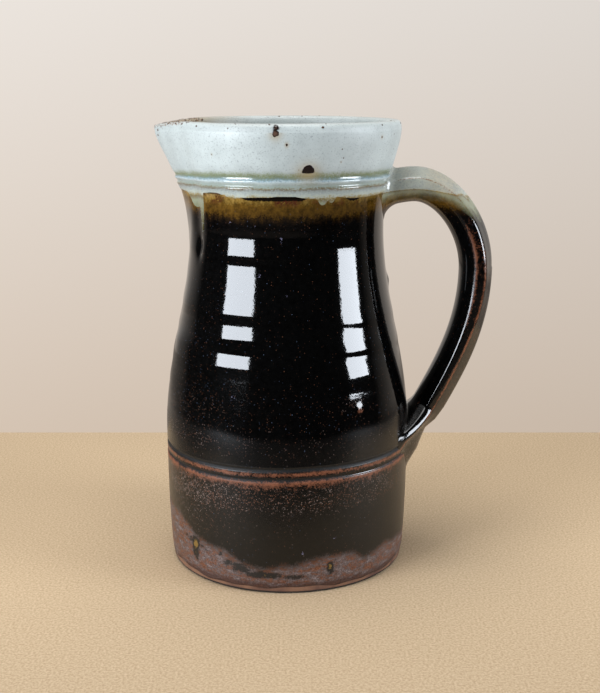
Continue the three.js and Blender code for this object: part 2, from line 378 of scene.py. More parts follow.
def tenmokuLook(tree):
    t = tenmoku
    add = partial(addNode, tree)
    sources = gatherSources(tree, t["noises"], t["attributes"])

    # Amber runs under the dip line, ragged below and mottled dark. Painted light by the attribute: lighter on
    # the spout's side, darker on the handle's side
    ramp = add("ValToRGB", [mapSpan(tree, sources, "z", t["runRagged"], t["runSpan"])])
    fillRamp(ramp.node.color_ramp, t["runs"])
    mottle = add("MapRange", [sources["blotch"], *t["mottle"]])
    mottle = add("Math", [mottle, sources["amberPaintedLight"]], operation="MULTIPLY")
    colour = add("Mix", [1.0, ramp, mottle], data_type="RGBA", blend_type="MULTIPLY")

    # Red crust in patches, and a painted shadow: a black line right under the pale coat's edge
    crust = 1.0
    for base, span in t["crustWhere"]:
        crust = add("Math", [crust, mapSpan(tree, sources, base, {}, span)], operation="MULTIPLY")
    colour = add("Mix", [crust, colour, linear(t["crust"])], data_type="RGBA")
    colour = layTints(tree, sources, colour, t["dipLine"])

    # Fine rust and blue specks, as many as the attribute says
    speck, draws = scatterGrains(tree, sources["place"], t["speckSize"], sources["speckle"], t["speckFade"])
    faint = add("Math", [draws[2], t["speckFaint"]], operation="POWER")
    speck = add("Math", [speck, faint], operation="MULTIPLY")
    isBlue = add("Math", [draws[1], t["blueFrom"]], operation="GREATER_THAN")
    speckColour = add("Mix", [isBlue, linear(t["rustSpeck"]), linear(t["blueSpeck"])], data_type="RGBA")
    colour = add("Mix", [speck, colour, speckColour], data_type="RGBA")

    # Mauve crystals where the attribute gathers them, some of them rusty
    drift = add("MapRange", [sources["blotch"], *t["crystalDrift"]])
    wanted = add("Math", [sources["crystal"], drift], operation="MULTIPLY")
    crystal, draws = scatterGrains(tree, sources["place"], t["crystalSize"], wanted, t["crystalFade"])
    for share, span in ((draws[1], t["crystalPale"]), (sources["crystal"], t["crystalCrowd"])):
        crystal = add("Math", [crystal, add("MapRange", [share, *span])], operation="MULTIPLY")
    sources["crystalDraw"] = draws[2]
    crystalColour = layTints(tree, sources, linear(t["crystal"]), t["rustCrystal"])
    colour = add("Mix", [crystal, colour, crystalColour], data_type="RGBA")

    # Dry foot: rust and mauve in flat patches, darker just above the bare clay
    footColour = layTints(tree, sources, linear(t["footRust"]), t["footLayers"])
    grit = add("MapRange", [sources["grain"], *t["footGrit"]])
    sources["footColour"] = add("Mix", [1.0, footColour, grit], data_type="RGBA", blend_type="MULTIPLY")
    patchy = add("MapRange", [sources["cloud"], *t["thinPatchy"]])
    sources["thinned"] = add("Math", [sources["thin"], patchy], operation="MULTIPLY")
    colour = layTints(tree, sources, colour, t["upperLayers"])

    # Gloss above, satin where the attribute says, dry on the foot, duller on crystals and rust
    roughness = add("Math", [sources["satin"], t["satin"], t["gloss"]], operation="MULTIPLY_ADD")
    roughness = add("Mix", [sources["foot"], roughness, t["dry"]])
    for mask, rougher in ((crystal, t["crystalRough"]), (sources["rust"], t["rustRough"])):
        roughness = add("Math", [mask, rougher, roughness], operation="MULTIPLY_ADD")
    relief = add("Math", [sources["peel"], t["peelRelief"]], operation="MULTIPLY")
    coarse = add("Math", [roughness, t["grainRelief"]], operation="MULTIPLY")
    relief = add("Math", [sources["grain"], coarse, relief], operation="MULTIPLY_ADD")
    return {"colour": colour, "roughness": roughness, "relief": relief, "ior": t["ior"]}


# Pale ash glaze from the dip: milky, softly shining, greener and glassier where it gathered over the collar's
# rings, brown where the lip and edges show through.
pale = {
    "ior": 1.52, "satin": 0.5, "gloss": 0.13, "glossEnd": (197.5, 200.5),
    "mottleRelief": 0.12, "grainRelief": 0.02,
    "noises": {"mottle": (9.0, 4.0, 0.6), "grain": (0.7, 2.0, 0.6)},
    "attributes": ("collar", "paintedLight", "halo", "bare"),
    "bandRagged": {"grain": 4.4, "mottle": 2.0}, "bandSpan": (171.2, 207.2), "cloud": (0.3, 0.7, 0.9, 1.06),
    "bands": [(0.0, "#2a2412"), (0.2, "#4a4528"), (0.34, "#6c6b4c"), (0.46, "#8a8d75"),
              (0.512, "#6d5d3c"), (0.535, "#94855e"), (0.56, "#adb1a4"), (0.603, "#9aa09b"),
              (0.632, "#8d918a"), (0.643, "#66563f"), (0.656, "#7e765f"), (0.672, "#939a8d"),
              (0.708, "#96a098"), (0.742, "#b0bbb8"), (0.758, "#b7c2c1"), (0.781, "#8fa3a9"),
              (0.806, "#727f74"), (0.834, "#757c5c"), (0.862, "#8c947e"), (0.888, "#aab0a9"),
              (0.915, "#b3b9b5"), (1.0, "#b8beba")],
    "pinholeSize": 5.0, "pinholeShare": 0.3, "pinholeFade": (0.09, 0.045),
    # Fine grey grain, iron in the pinholes, a tan stain round the iron spots, brown where the coat is thin,
    # and a tan and brown tint inside the mouth
    "layers": [("speck", "grain", {}, (0.56, 0.72, 0.0, 0.8), "#868b8a"),
               ("iron", "pinhole", {}, (0.0, 1.0), "#4a3322"), ("stain", "halo", {}, (0.0, 1.0), "#a08a64"),
               ("thin", "bare", {"grain": 1.6}, (1.46, 1.72), "#6d4a2b")],
}


def paleLook(tree):
    p = pale
    add = partial(addNode, tree)
    sources = gatherSources(tree, p["noises"], p["attributes"])

    # Bands on the collar, by height, with ragged edges
    ramp = add("ValToRGB", [mapSpan(tree, sources, "collar", p["bandRagged"], p["bandSpan"])])
    fillRamp(ramp.node.color_ramp, p["bands"])
    cloud = add("MapRange", [sources["mottle"], *p["cloud"]])
    # Painted light: the colour is scaled by the attribute, lighter on the left of the collar, darker right of
    # the front
    cloud = add("Math", [cloud, sources["paintedLight"]], operation="MULTIPLY")
    colour = add("Mix", [1.0, ramp, cloud], data_type="RGBA", blend_type="MULTIPLY")
    sources["pinhole"], _ = scatterGrains(
        tree, sources["place"], p["pinholeSize"], p["pinholeShare"], p["pinholeFade"])
    colour = layTints(tree, sources, colour, p["layers"])

    roughness = add("MapRange", [sources["collar"], *p["glossEnd"], p["gloss"], p["satin"]])
    relief = add("Math", [sources["mottle"], p["mottleRelief"]], operation="MULTIPLY")
    relief = add("Math", [sources["grain"], p["grainRelief"], relief], operation="MULTIPLY_ADD")
    return {"colour": colour, "roughness": roughness, "relief": relief, "ior": p["ior"]}


# The handle went through both glazes: pale above the dip line, streaked olive across it, black below
dipVeil = {"noises": {"veil": (2.5, 4.0, 0.5)}, "ragged": {"veil": 6.0}, "span": (0.0, 8.0)}


def dippedLook(tree):
    dark = tenmokuLook(tree)
    light = paleLook(tree)
    sources = gatherSources(tree, dipVeil["noises"], ("dipped", "cover"))
    share = mapSpan(tree, sources, "dipped", dipVeil["ragged"], dipVeil["span"])
    share = addNode(tree, "Math", [share, sources["cover"]], operation="MULTIPLY")
    look = {"ior": tenmoku["ior"]}
    for part, kind in (("colour", "RGBA"), ("roughness", "FLOAT"), ("relief", "FLOAT")):
        look[part] = addNode(tree, "Mix", [share, dark[part], light[part]], data_type=kind)
    return look


# Liner glaze, the same ash glaze poured inside: grey-green and even, darker where it pooled on the floor
liner = {
    "ior": 1.52, "roughness": 0.22, "thin": "#b3b7a8", "relief": 0.15,
    "noises": {"mottle": (12.0, 4.0, 0.5), "grain": (0.8, 2.0, 0.5)},
    "layers": [("pooled", "pool", {"mottle": 0.8, "grain": 0.4}, (0.4, 1.1), "#8f9780")],
}


def linerLook(tree):
    sources = gatherSources(tree, liner["noises"], ("pool",))
    colour = layTints(tree, sources, linear(liner["thin"]), liner["layers"])
    relief = addNode(tree, "Math", [sources["mottle"], liner["relief"]], operation="MULTIPLY")
    return {"colour": colour, "roughness": liner["roughness"], "relief": relief, "ior": liner["ior"]}


# Bare stoneware, toasted tan by the kiln: dull, gritty, with darker iron grains, and a painted contact shadow
# at the table
stoneware = {
    "roughness": 0.86, "tan": "#72503a", "relief": 0.12,
    "noises": {"cloud": (11.0, 5.0, 0.5), "grain": (0.9, 4.0, 0.7)},
    "layers": [("toast", "cloud", {}, (0.4, 0.66), "#4f3226"),
               ("grit", "grain", {}, (0.6, 0.72, 0.0, 0.7), "#4d3626"),
               # Painted shadow: dark at the very bottom, where the foot meets the table
               ("contactShadow", "z", {}, (1.5, 1.05), "#1a110b")],
}


def stonewareLook(tree):
    sources = gatherSources(tree, stoneware["noises"])
    colour = layTints(tree, sources, linear(stoneware["tan"]), stoneware["layers"])
    relief = addNode(tree, "Math", [sources["grain"], stoneware["relief"]], operation="MULTIPLY")
    return {"colour": colour, "roughness": stoneware["roughness"], "relief": relief}


# Iron from the clay, melted through the glaze: brown to near black, half glossy
ironBloom = {
    "roughness": 0.22, "dark": "#1c1310", "strength": 0.4, "depth": 0.1,
    "noises": {"patch": (2.2, 3.0, 0.5)},
    "layers": [("browned", "brown", {"patch": 0.8}, (0.4, 1.3), "#5f473a")],
}


def ironLook(tree):
    sources = gatherSources(tree, ironBloom["noises"], ("brown",))
    colour = layTints(tree, sources, linear(ironBloom["dark"]), ironBloom["layers"])
    return {"colour": colour, "relief": sources["patch"],
            **{part: ironBloom[part] for part in ("roughness", "strength", "depth")}}


# Body of bare clay: it shows at the foot and underneath, and is held back a little under the coats

clayBody = {
    "columns": 240, "heldBack": 0.8, "wallFrom": 6.0, "insideTo": 18.0,
    "outsideRows": 60, "lipRows": 10, "insideRows": 50, "filletRows": 6, "filletFrom": 0.2,
    "underside": (0.04, 0.2, 0.4, 0.6, 0.8, 0.95), "floorShares": (0.6, 0.3, 0.05),
    # The foot ring off the foot's radius, with its height: undercut at the table
    "footRing": [(-0.5, 0.0), (-0.1, 0.0), (0.4, 0.4), (0.68, 0.85), (0.75, 1.6), (0.7, 2.6), (0.4, 4.0)],
}


def makeClayBody(material):
    c = clayBody
    a = azimuths(c["columns"])
    lip = pot["wall"] / 2 - c["heldBack"]
    middle = pot["rimRadius"] - pot["wall"] / 2
    fillet = pot["floorFillet"]
    floor = pot["floor"] - c["heldBack"]
    inner = float(wallRadius(pot["floor"] + fillet)) - pot["wall"] - fillet
    profile = [(pot["footRadius"] * share, 0.0) for share in c["underside"]]
    profile += [(pot["footRadius"] + out, z) for out, z in c["footRing"]]
    profile += [(float(wallRadius(z)) - c["heldBack"], z)
                for z in np.linspace(c["wallFrom"], pot["rimHeight"], c["outsideRows"])]
    profile += [(middle + lip * math.cos(turn), pot["rimHeight"] + lip * math.sin(turn))
                for turn in np.linspace(0.0, math.pi, c["lipRows"])[1:]]
    profile += [(float(wallRadius(z)) - pot["wall"] + c["heldBack"], z)
                for z in np.linspace(pot["rimHeight"], c["insideTo"], c["insideRows"])[1:]]
    profile += [(inner + fillet * math.cos(turn), floor + fillet * (1.0 - math.sin(turn)))
                for turn in np.linspace(c["filletFrom"], math.pi / 2, c["filletRows"])]
    profile += [(inner * share, floor) for share in c["floorShares"]]
    radius, z = np.array(profile).T[:, :, None]
    return skin("clay_body", thrown(a, radius + 0.0 * a, z + 0.0 * a), False, {}, material)


# Lower edge of the pale dip, with its drips: azimuth, how far it ran and half its width in degrees
drips = [(-55.0, 14.5, 2.4), (-62.0, 7.5, 7.5), (-43.0, -1.8, 8.0), (-2.0, 0.9, 19.0), (20.3, 3.2, 2.6),
         (25.4, 2.6, 2.0), (43.0, 1.2, 11.0), (-30.0, 0.6, 5.0), (112.0, 4.5, 2.4), (134.0, 2.5, 5.0),
         (166.0, 8.0, 2.4), (-150.0, 5.5, 2.6), (-122.0, 3.0, 4.0)]
dipWaves = [(0.35, 3, 1.0), (0.25, 8, 2.2), (0.15, 17, 0.0)]
dipAbove = 0.4                                             # the edge lies higher than the solids' level cut


def dipEdge(a):
    runs = [run * np.exp(-np.abs(degreesApart(a, at) / wide) ** 3) for at, run, wide in drips]
    return pot["dipLine"] + dipAbove + waved(a, dipWaves) - sum(runs)


# Outer coat of tenmoku. The wall's throwing rings and the girdle are cut into it by a node tree.

wallCoat = {
    "columns": 400, "from": 6.0, "rowStep": 1.0, "fineStep": 0.3, "fineFrom": 53.0, "fineTo": 67.0,
    "top": 187.8, "hiddenRows": 10, "hiddenTo": 3.5, "hidden": -0.45,
    "ringPitch": 13.35, "firstRing": 159.4, "ringTilt": 0.9, "ringSeed": 4.0, "ringSkew": 0.4,
    "ringUneven": 0.22, "unevenSize": 20.0,
    "girdleHeight": 60.8, "girdleSpacing": 5.0, "girdleWidth": 0.82, "girdleDepth": 0.48, "girdleTilt": 0.011,
    "girdleSag": 0.034, "girdleSagFrom": 15.0,             # the lines hang lower on the spout's side
    "burr": 0.06, "burrWide": 2.0,                         # shares of a line's depth and width
    # The rounded lower edge: rise off the edge, height of the wall that it follows, how far out
    "lowerEdge": [(0.0, 3.0, -0.1), (0.1, 3.0, 0.45), (0.5, 3.5, 0.85), (1.3, 4.0, 1.0)],
    "edgeBelow": 0.3, "edgeWaves": [(0.5, 5, 1.0), (0.3, 11, 0.0), (0.25, 23, 2.0)],
    "spoutFlatAt": (-90.0, 26.0, 26.0, 26.0), "handleFlatAt": (36.0, 24.0), "facetAt": (-22.5, 11.0),
    "sideBlend": 1.2, "calmAt": (45.0, 30.0), "calmShare": 0.5, "flatCalm": 1.6,
}
# Swing of the rings by height: on the spout's side and on the handle's side
ringSwing = [(20, 0.03, 0.03), (50, 0.04, 0.04), (70, 0.03, 0.03), (84, 0.0, 0.0), (92, 0.22, 0.0),
             (110, 0.3, 0.0), (113, 0.3, 0.2), (118, 0.3, 0.21), (124, 0.27, 0.21), (135, 0.25, 0.2),
             (142.8, 0.08, 0.03), (150, 0.16, 0.03), (161, 0.16, 0.03), (165, 0.0, 0.0)]
# Where the pulls left the wall off its curve, by height: on the spout's side and on the handle's side
spoutFlat = [(84, 0), (88, 0.12), (92, 0.3), (96, 0.56), (100, 0.89), (104, 1.27), (107.3, 1.63),
             (110.2, 1.97), (115.6, 1.9), (121.6, 0), (127.4, 0), (133.9, 1.0), (149.5, 0), (155.2, 0),
             (160.2, 0.46), (168.4, 0.12), (171.5, 0.3), (178, 0.48), (190, 0.48)]
handleFlat = [(89, 0), (93.3, 0.08), (97, 0.08), (104.4, 0.56), (112.5, 0), (164, 0), (167, 0.16), (174, 0.3),
              (190, 0.3)]
# A facet in front on the spout's side, by height
facet = [(80, 0), (105, 0.28), (150, 0.28), (172, 0.05), (190, 0.05)]
# Height of the dry foot's edge round the jug, by azimuth
footEdge = [(-180, 16), (-150, 22), (-120, 27), (-95, 33), (-72, 32), (-60, 30), (-53, 27), (-47, 23),
            (-40, 22), (-31, 19), (-21, 14.5), (-14, 13), (2, 14), (13, 17), (23, 19.5), (29, 18.5),
            (39, 13.5), (53, 16), (81, 14), (110, 18), (135, 12), (160, 13), (180, 16)]
# Lilac smears on the black, a few of them painted highlights, and drops and patches on the foot: azimuth,
# height, width, tallness, strength
# Painted highlights among them: the small ones at 174 to 175 mm, and those at 15 to 28 mm low in front
smearsAndGlints = [(-2.2, 168.0, 0.8, 3.0, 1.0), (-14.2, 151.5, 0.9, 2.6, 1.0), (0.5, 143.0, 1.0, 1.3, 0.9),
          (-32.0, 175.2, 0.8, 0.9, 1.2), (-16.6, 174.0, 0.7, 0.7, 1.2), (-24.5, 95.5, 1.2, 2.4, 1.0),
          (22.0, 27.5, 0.9, 0.9, 1.3), (10.6, 15.6, 0.9, 0.9, 1.3), (7.6, 21.0, 0.9, 1.0, 1.2),
          (118.0, 150.0, 1.0, 3.0, 1.0), (-140.0, 128.0, 1.0, 2.4, 1.0), (170.0, 165.0, 0.9, 2.6, 1.0)]
footDrops = [(-47.2, 15.6, 3.2, 7.4, 1.0), (-47.0, 18.2, 2.7, 4.2, 1.5), (-50.6, 19.6, 3.2, 1.7, 0.76),
             (-54.0, 20.4, 3.0, 1.3, 0.68), (-43.0, 18.4, 2.6, 1.5, 0.72), (-40.0, 17.2, 2.6, 1.2, 0.66),
             (20.5, 11.8, 2.2, 4.2, 0.95), (20.4, 12.8, 1.6, 2.8, 1.36), (-31.5, 17.4, 1.4, 1.4, 0.9),
             (-11.0, 9.6, 13.0, 2.2, 0.94), (-21.0, 12.0, 7.0, 3.6, 0.86), (4.0, 9.0, 9.0, 1.5, 0.8),
             (-27.5, 13.6, 4.0, 3.2, 0.68), (-137.0, 14.6, 2.2, 5.6, 0.95), (-136.8, 16.4, 1.7, 3.0, 1.36),
             (148.0, 8.5, 8.0, 1.4, 0.75)]
# Bands of thin glaze, of crystals, of those that keep out of the girdle's lines, and of specks: height, half
# width, amount, and how much more on the spout's side
thinBands = [(61.1, 1.35, 0.82, 0.0), (56.8, 1.35, 0.84, 0.0), (54.4, 1.6, 0.42, 0.0)]
crystalBands = [(34.0, 9.0, 0.06, 0.24), (90.0, 9.0, 0.0, 0.14)]
girdleCrystals = [(73.0, 7.0, 0.12, 0.12)]
speckleBands = [(100.0, 45.0, 0.0, 0.3), (84.0, 12.0, 0.15, 0.0), (173.0, 4.0, 0.15, 0.0)]
# Satin below a height: amount, height, how much higher it begins on the left and on the right, fade
satinSteps = [(0.35, 78.0, 14.0, 10.0, 13.0), (0.9, 79.5, 2.0, 2.0, 4.0)]
# The rest of what the fire left on the wall, with the painted light on the amber and where the painted shadow
# under the pale coat's edge shows. Places are a middle and a half width, a limit and a fade, or both limits
# and both fades.
wallFireAndPaintedLight = {
    "left": (-150.0, -10.0, 30.0, 30.0), "right": (12.0, 150.0, 20.0, 30.0),
    "nubThin": 0.9, "nubWide": 1.5, "nubTall": 1.7,
    "lineWide": 1.6, "lineSatin": 4.4, "glint": 0.95, "glintAt": (38.0, 12.0), "glintTall": 1.4,
    "lowSatin": 0.4, "lowSatinBelow": (58.2, 2.5),
    "crystals": 0.42, "crystalsLeft": 0.36, "crystalsAt": (37.0, 56.5, 10.0, 4.0),
    "patch": 0.35, "patchAt": (33.0, 6.0), "patchHeight": (92.0, 3.5), "specks": 0.1,
    # Where the painted shadow under the pale coat's edge shows, and how wide it is
    "dipFront": (-28.0, 16.0, 8.0, 8.0), "dipSide": 0.9, "dipSideAt": (39.0, 8.0),
    "dipBack": 0.8, "dipBackAt": (165.0, 25.0), "dipHidden": 3.0, "dipWider": 0.7, "dipWiderAt": (39.0, 10.0),
    "amberPaintedLight": 1.1, "amberSideLight": 0.3, "amberSteep": 2.6, "amberTurn": 0.15,
}


def throwingMarks(values):
    tree, given = newTree("throwing marks", values)
    add = partial(addNode, tree)
    c = wallCoat
    marks = {name: add("GeometryNodeInputNamedAttribute", {"Name": name}, data_type="FLOAT")
             for name in ("skew", "swing", "outside")}
    position = add("GeometryNodeInputPosition")
    x, y, z = add("SeparateXYZ", [position], out=None)
    facing = add("Math", [y, -1.0], operation="MULTIPLY")
    turn = add("Math", [x, facing], operation="ARCTAN2")
    outward = add("VectorMath", [add("CombineXYZ", [x, y])], operation="NORMALIZE")

    # Rings: one spiral that drops by its pitch in a turn, steeper on one side of each crest by the attribute
    turns = add("Math", [turn, 0.5 / math.pi], operation="MULTIPLY")
    sideways = add("Math", [turn], operation="SINE")
    level = add("Math", [sideways, given["Ring tilt"], z], operation="MULTIPLY_ADD")
    climb = add("Math", [level, given["First ring"]], operation="SUBTRACT")
    climb = add("Math", [climb, given["Ring pitch"]], operation="DIVIDE")
    climb = add("Math", [climb, turns], operation="ADD")
    uneven = add("TexNoise", {
        "Vector": position, "W": given["Seed"], "Scale": 1.0 / (c["unevenSize"] * mm), "Detail": 2.0},
        noise_dimensions="4D")
    climb = add("Math", [uneven, c["ringUneven"], climb], operation="MULTIPLY_ADD")
    phase = add("Math", [climb, 2.0 * math.pi, -c["ringUneven"] * math.pi], operation="MULTIPLY_ADD")
    lead = add("Math", [phase], operation="COSINE")
    phase = add("Math", [lead, marks["skew"], phase], operation="MULTIPLY_ADD")
    wave = add("Math", [phase], operation="COSINE")
    lift = add("Math", [wave, marks["swing"]], operation="MULTIPLY")

    # Girdle: two tool lines, with the clay pushed up at their shoulders
    level = add("Math", [x, given["Girdle tilt"], z], operation="MULTIPLY_ADD")
    sagging = add("Math", [given["Girdle sag from"], x], operation="SUBTRACT")
    sagging = add("Math", [sagging, 0.0], operation="MAXIMUM")
    level = add("Math", [sagging, given["Girdle sag"], level], operation="MULTIPLY_ADD")
    level = add("Math", [level, given["Girdle height"]], operation="SUBTRACT")
    for side in (-0.5, 0.5):
        away = add("Math", [given["Girdle spacing"], side, level], operation="MULTIPLY_ADD")
        share = add("Math", [away, given["Girdle width"]], operation="DIVIDE")
        squared = add("Math", [share, share], operation="MULTIPLY")
        steep = add("Math", [squared, squared], operation="MULTIPLY")
        line = add("Math", [add("Math", [steep, -1.0], operation="MULTIPLY")], operation="EXPONENT")
        shoulder = add("Math", [squared, -1.0 / c["burrWide"] ** 2], operation="MULTIPLY")
        shoulder = add("Math", [shoulder], operation="EXPONENT")
        burr = add("Math", [shoulder, c["burr"]], operation="MULTIPLY")
        cut = add("Math", [burr, line], operation="SUBTRACT")
        lift = add("Math", [cut, given["Girdle depth"], lift], operation="MULTIPLY_ADD")
    lift = add("Math", [lift, marks["outside"]], operation="MULTIPLY")
    offset = add("VectorMath", {0: outward, "Scale": lift}, operation="SCALE")
    moved = add("GeometryNodeSetPosition", {"Geometry": given["Geometry"], "Offset": offset})
    real = add("GeometryNodeRealizeInstances", [moved])
    dressed = add("GeometryNodeSetMaterial", {"Geometry": real, "Material": given["Glaze"]})
    add("NodeGroupOutput", [dressed])
    return tree


def banded(bands, height, left):
    return sum((amount + more * left) * hump(height, z, wide) for z, wide, amount, more in bands)


def spotted(spots, a, heights, arc):
    cover = np.zeros_like(heights)
    for at, z, wide, tall, amount in spots:
        across = amount * hump(degreesApart(a, at) * arc, 0.0, wide)
        cover = np.maximum(cover, across * hump(heights, z, tall))
    return cover


# How the fire treated the coat, with painted light, shadow and highlights on it: by height, by the level of
# the girdle lines, and on the left and the right
def firedAndPaintedMarks(a, radii, heights):
    c = wallCoat
    f = wallFireAndPaintedLight
    degrees = np.degrees(a)
    left = within(degrees, *f["left"])
    right = within(degrees, *f["right"])
    arc = np.radians(1.0) * pot["bellyRadius"]
    aside = radii * np.sin(a)
    level = heights + c["girdleTilt"] * aside + c["girdleSag"] * np.maximum(0.0, c["girdleSagFrom"] - aside)
    lines = [c["girdleHeight"] + side * c["girdleSpacing"] / 2 for side in (-1, 1)]
    inLine = np.minimum(1.0, sum(hump(level, line, f["lineWide"]) for line in lines))

    nub = handPrints[-1]
    onNub = hump(degreesApart(a, nub["azimuth"]) * arc, 0.0, f["nubWide"])
    onNub = onNub * hump(heights, nub["height"], f["nubTall"])
    satin = f["lowSatin"] * easeBelow(level, *f["lowSatinBelow"])
    for amount, height, onLeft, onRight, fade in satinSteps:
        satin = satin + amount * easeBelow(heights, height + onLeft * left + onRight * right, fade)
    glint = f["glint"] * hump(degrees, *f["glintAt"]) * hump(level, lines[0], f["glintTall"])
    crystal = within(heights, *f["crystalsAt"]) * (f["crystals"] + f["crystalsLeft"] * left)
    crystal = crystal + banded(crystalBands, heights, left)
    crystal = crystal + banded(girdleCrystals, heights, left) * (1.0 - inLine)
    crystal = crystal + f["patch"] * hump(degrees, *f["patchAt"]) * hump(heights, *f["patchHeight"])
    # The painted shadow under the pale coat's edge shows in front, at the side and at the back
    dipShadowShown = within(degrees, *f["dipFront"]) + f["dipSide"] * hump(degrees, *f["dipSideAt"])
    dipShadowShown = np.minimum(1.0, dipShadowShown + f["dipBack"] * hump(np.abs(degrees), *f["dipBackAt"]))
    underDip = dipEdge(a) - heights + f["dipHidden"] * (1.0 - dipShadowShown)
    # Painted light on the amber: lighter on the spout's side, darker on the handle's side
    fromFront = np.clip(f["amberSteep"] * np.sin(a + f["amberTurn"]), -1.0, 1.0)
    return {
        "thin": banded(thinBands, level, left) + f["nubThin"] * onNub,
        "satin": np.maximum(satin, f["lineSatin"] * inLine) * (1.0 - glint), "crystal": crystal,
        "speckle": f["specks"] + banded(speckleBands, heights, left),
        "underDip": underDip - f["dipWider"] * hump(degrees, *f["dipWiderAt"]),
        "amberPaintedLight": f["amberPaintedLight"] - f["amberSideLight"] * fromFront, "footGap": heights - follow(footEdge, degrees),
        "smearAndGlint": spotted(smearsAndGlints, a, heights, arc), "drop": spotted(footDrops, a, heights, arc)}


def makeWallCoat(material):
    c = wallCoat
    a = azimuths(c["columns"])
    degrees = np.degrees(a)
    edge = pot["footLine"] - c["edgeBelow"] + waved(a, c["edgeWaves"])
    steps = np.concatenate([
        np.arange(c["from"], c["fineFrom"], c["rowStep"]),
        np.arange(c["fineFrom"], c["fineTo"], c["fineStep"]),
        np.arange(c["fineTo"], c["top"], c["rowStep"]), [c["top"]]])[:, None]
    flattened = within(degrees, *c["spoutFlatAt"])
    flat = flattened * follow(spoutFlat, steps)
    flat = flat + hump(degrees, *c["handleFlatAt"]) * follow(handleFlat, steps)
    flat = flat - hump(degrees, *c["facetAt"]) * follow(facet, steps)
    heights = np.vstack([edge + rise for rise, _, _ in c["lowerEdge"]] + [steps + 0.0 * a])
    radii = np.vstack([wallRadius(z) + out + 0.0 * a for _, z, out in c["lowerEdge"]]
                      + [wallRadius(steps) + pot["coat"] + flat + handMarks(a, steps)])
    down = np.linspace(c["top"], c["hiddenTo"], c["hiddenRows"])[:, None] + 0.0 * a
    outside = np.vstack([np.ones_like(heights), np.zeros_like(down)])
    heights = np.vstack([heights, down])
    radii = np.vstack([radii, wallRadius(down) + c["hidden"]])

    # Rings swing less at the sides and not where the wall is flat
    rise, spoutSwing, handleSwing = np.array(ringSwing, float).T
    along = heights + (c["ringTilt"] + c["ringPitch"] / (2.0 * math.pi)) * np.sin(a)
    toHandle = ease(0.5 + c["sideBlend"] * np.sin(a))
    swing = (1.0 - toHandle) * np.interp(along, rise, spoutSwing)
    swing = swing + toHandle * np.interp(along, rise, handleSwing)
    swing = swing * (1.0 - c["calmShare"] * easeAbove(np.abs(degrees), *c["calmAt"]))
    swing = swing * (1.0 - ease(c["flatCalm"] * flattened))
    piece = skin("tenmoku_coat", thrown(a, radii, heights), True, {
        "outside": outside, "swing": swing * mm, "skew": c["ringSkew"], **firedAndPaintedMarks(a, radii, heights)})
    values = {
        "Ring pitch": c["ringPitch"] * mm, "First ring": c["firstRing"] * mm, "Ring tilt": c["ringTilt"] * mm,
        "Seed": c["ringSeed"], "Girdle height": c["girdleHeight"] * mm,
        "Girdle spacing": c["girdleSpacing"] * mm, "Girdle width": c["girdleWidth"] * mm,
        "Girdle depth": c["girdleDepth"] * mm, "Girdle tilt": c["girdleTilt"],
        "Girdle sag": c["girdleSag"], "Girdle sag from": c["girdleSagFrom"] * mm, "Glaze": material}
    applyNodes(piece, throwingMarks(values), values)
    return piece


# Pale coat over the collar, the lip and the mouth, with a thick lower edge and its drips

rimCoat = {
    "columns": 600, "edgeRows": 18, "edgeTo": 192.0, "crowding": 1.3, "rowStep": 0.5, "lipRows": 26,
    "insideRows": 30, "insideEdge": 185.0, "insideWaves": [(0.6, 2, 0.0), (0.4, 7, 1.0)],
    "bead": 0.55, "beadWide": 1.5, "beadFades": 0.6, "beadFadesAt": (189.0, 10.0), "under": 0.06,
    "lipWaves": [(0.25, 2, 0.6), (0.15, 5, 0.0)], "lipWander": 0.05,
    "lipLean": 0.3, "lipLeanAt": (26.0, 20.0),
    "feather": 0.5, "featherAt": (0.9, 0.1),               # the coat thins out at its edge inside
    "hidden": 0.9, "hiddenRows": 14, "hiddenTuck": 0.6, "hiddenTurn": 8,
}
# Stains of the pale coat, and the tint inside its mouth: shares, and limits with their fades
rimStain = {
    "halo": 0.75, "haloWide": 0.85, "haloTall": 0.95, "topFrom": (216.8, 2.0), "spoutWithin": (38.0, 12.0),
    "mouthFrom": (204.0, 8.0), "mouthWithin": (75.0, 55.0), "mouthTan": 0.62, "mouthBrown": 0.45,
    "topBare": 0.2, "spoutBare": 0.56, "topBloom": 0.012, "spoutBloom": 0.2,
    "sideBloom": 0.001, "sideFrom": (200.0, 6.0), "insideLevel": 206.0,
}
# Rings of the collar: height, how proud, half width
collarRings = [(198.0, -0.5, 1.3), (195.3, 0.4, 0.8), (193.2, -0.4, 0.9), (191.4, 0.35, 0.6),
               (203.0, 0.12, 2.5)]
# How far the rings and bands hang below level: in front, more at both sides, and less of that at the handle
collarHang = {"high": (1.3, 2.0, 0.7), "low": (0.3, 0.8, 0.3), "highFrom": (190.0, 6.0)}
# Painted light and shade on the pale coat round the collar, by azimuth: lighter on the left, darker right of
# the front
collarPaintedLight = [(-180, 1.0), (-80, 1.03), (-49, 1.11), (-26, 1.17), (-16, 1.1), (-5, 1.0), (6, 0.91), (18, 0.86),
             (31, 0.91), (44, 0.99), (180, 1.0)]
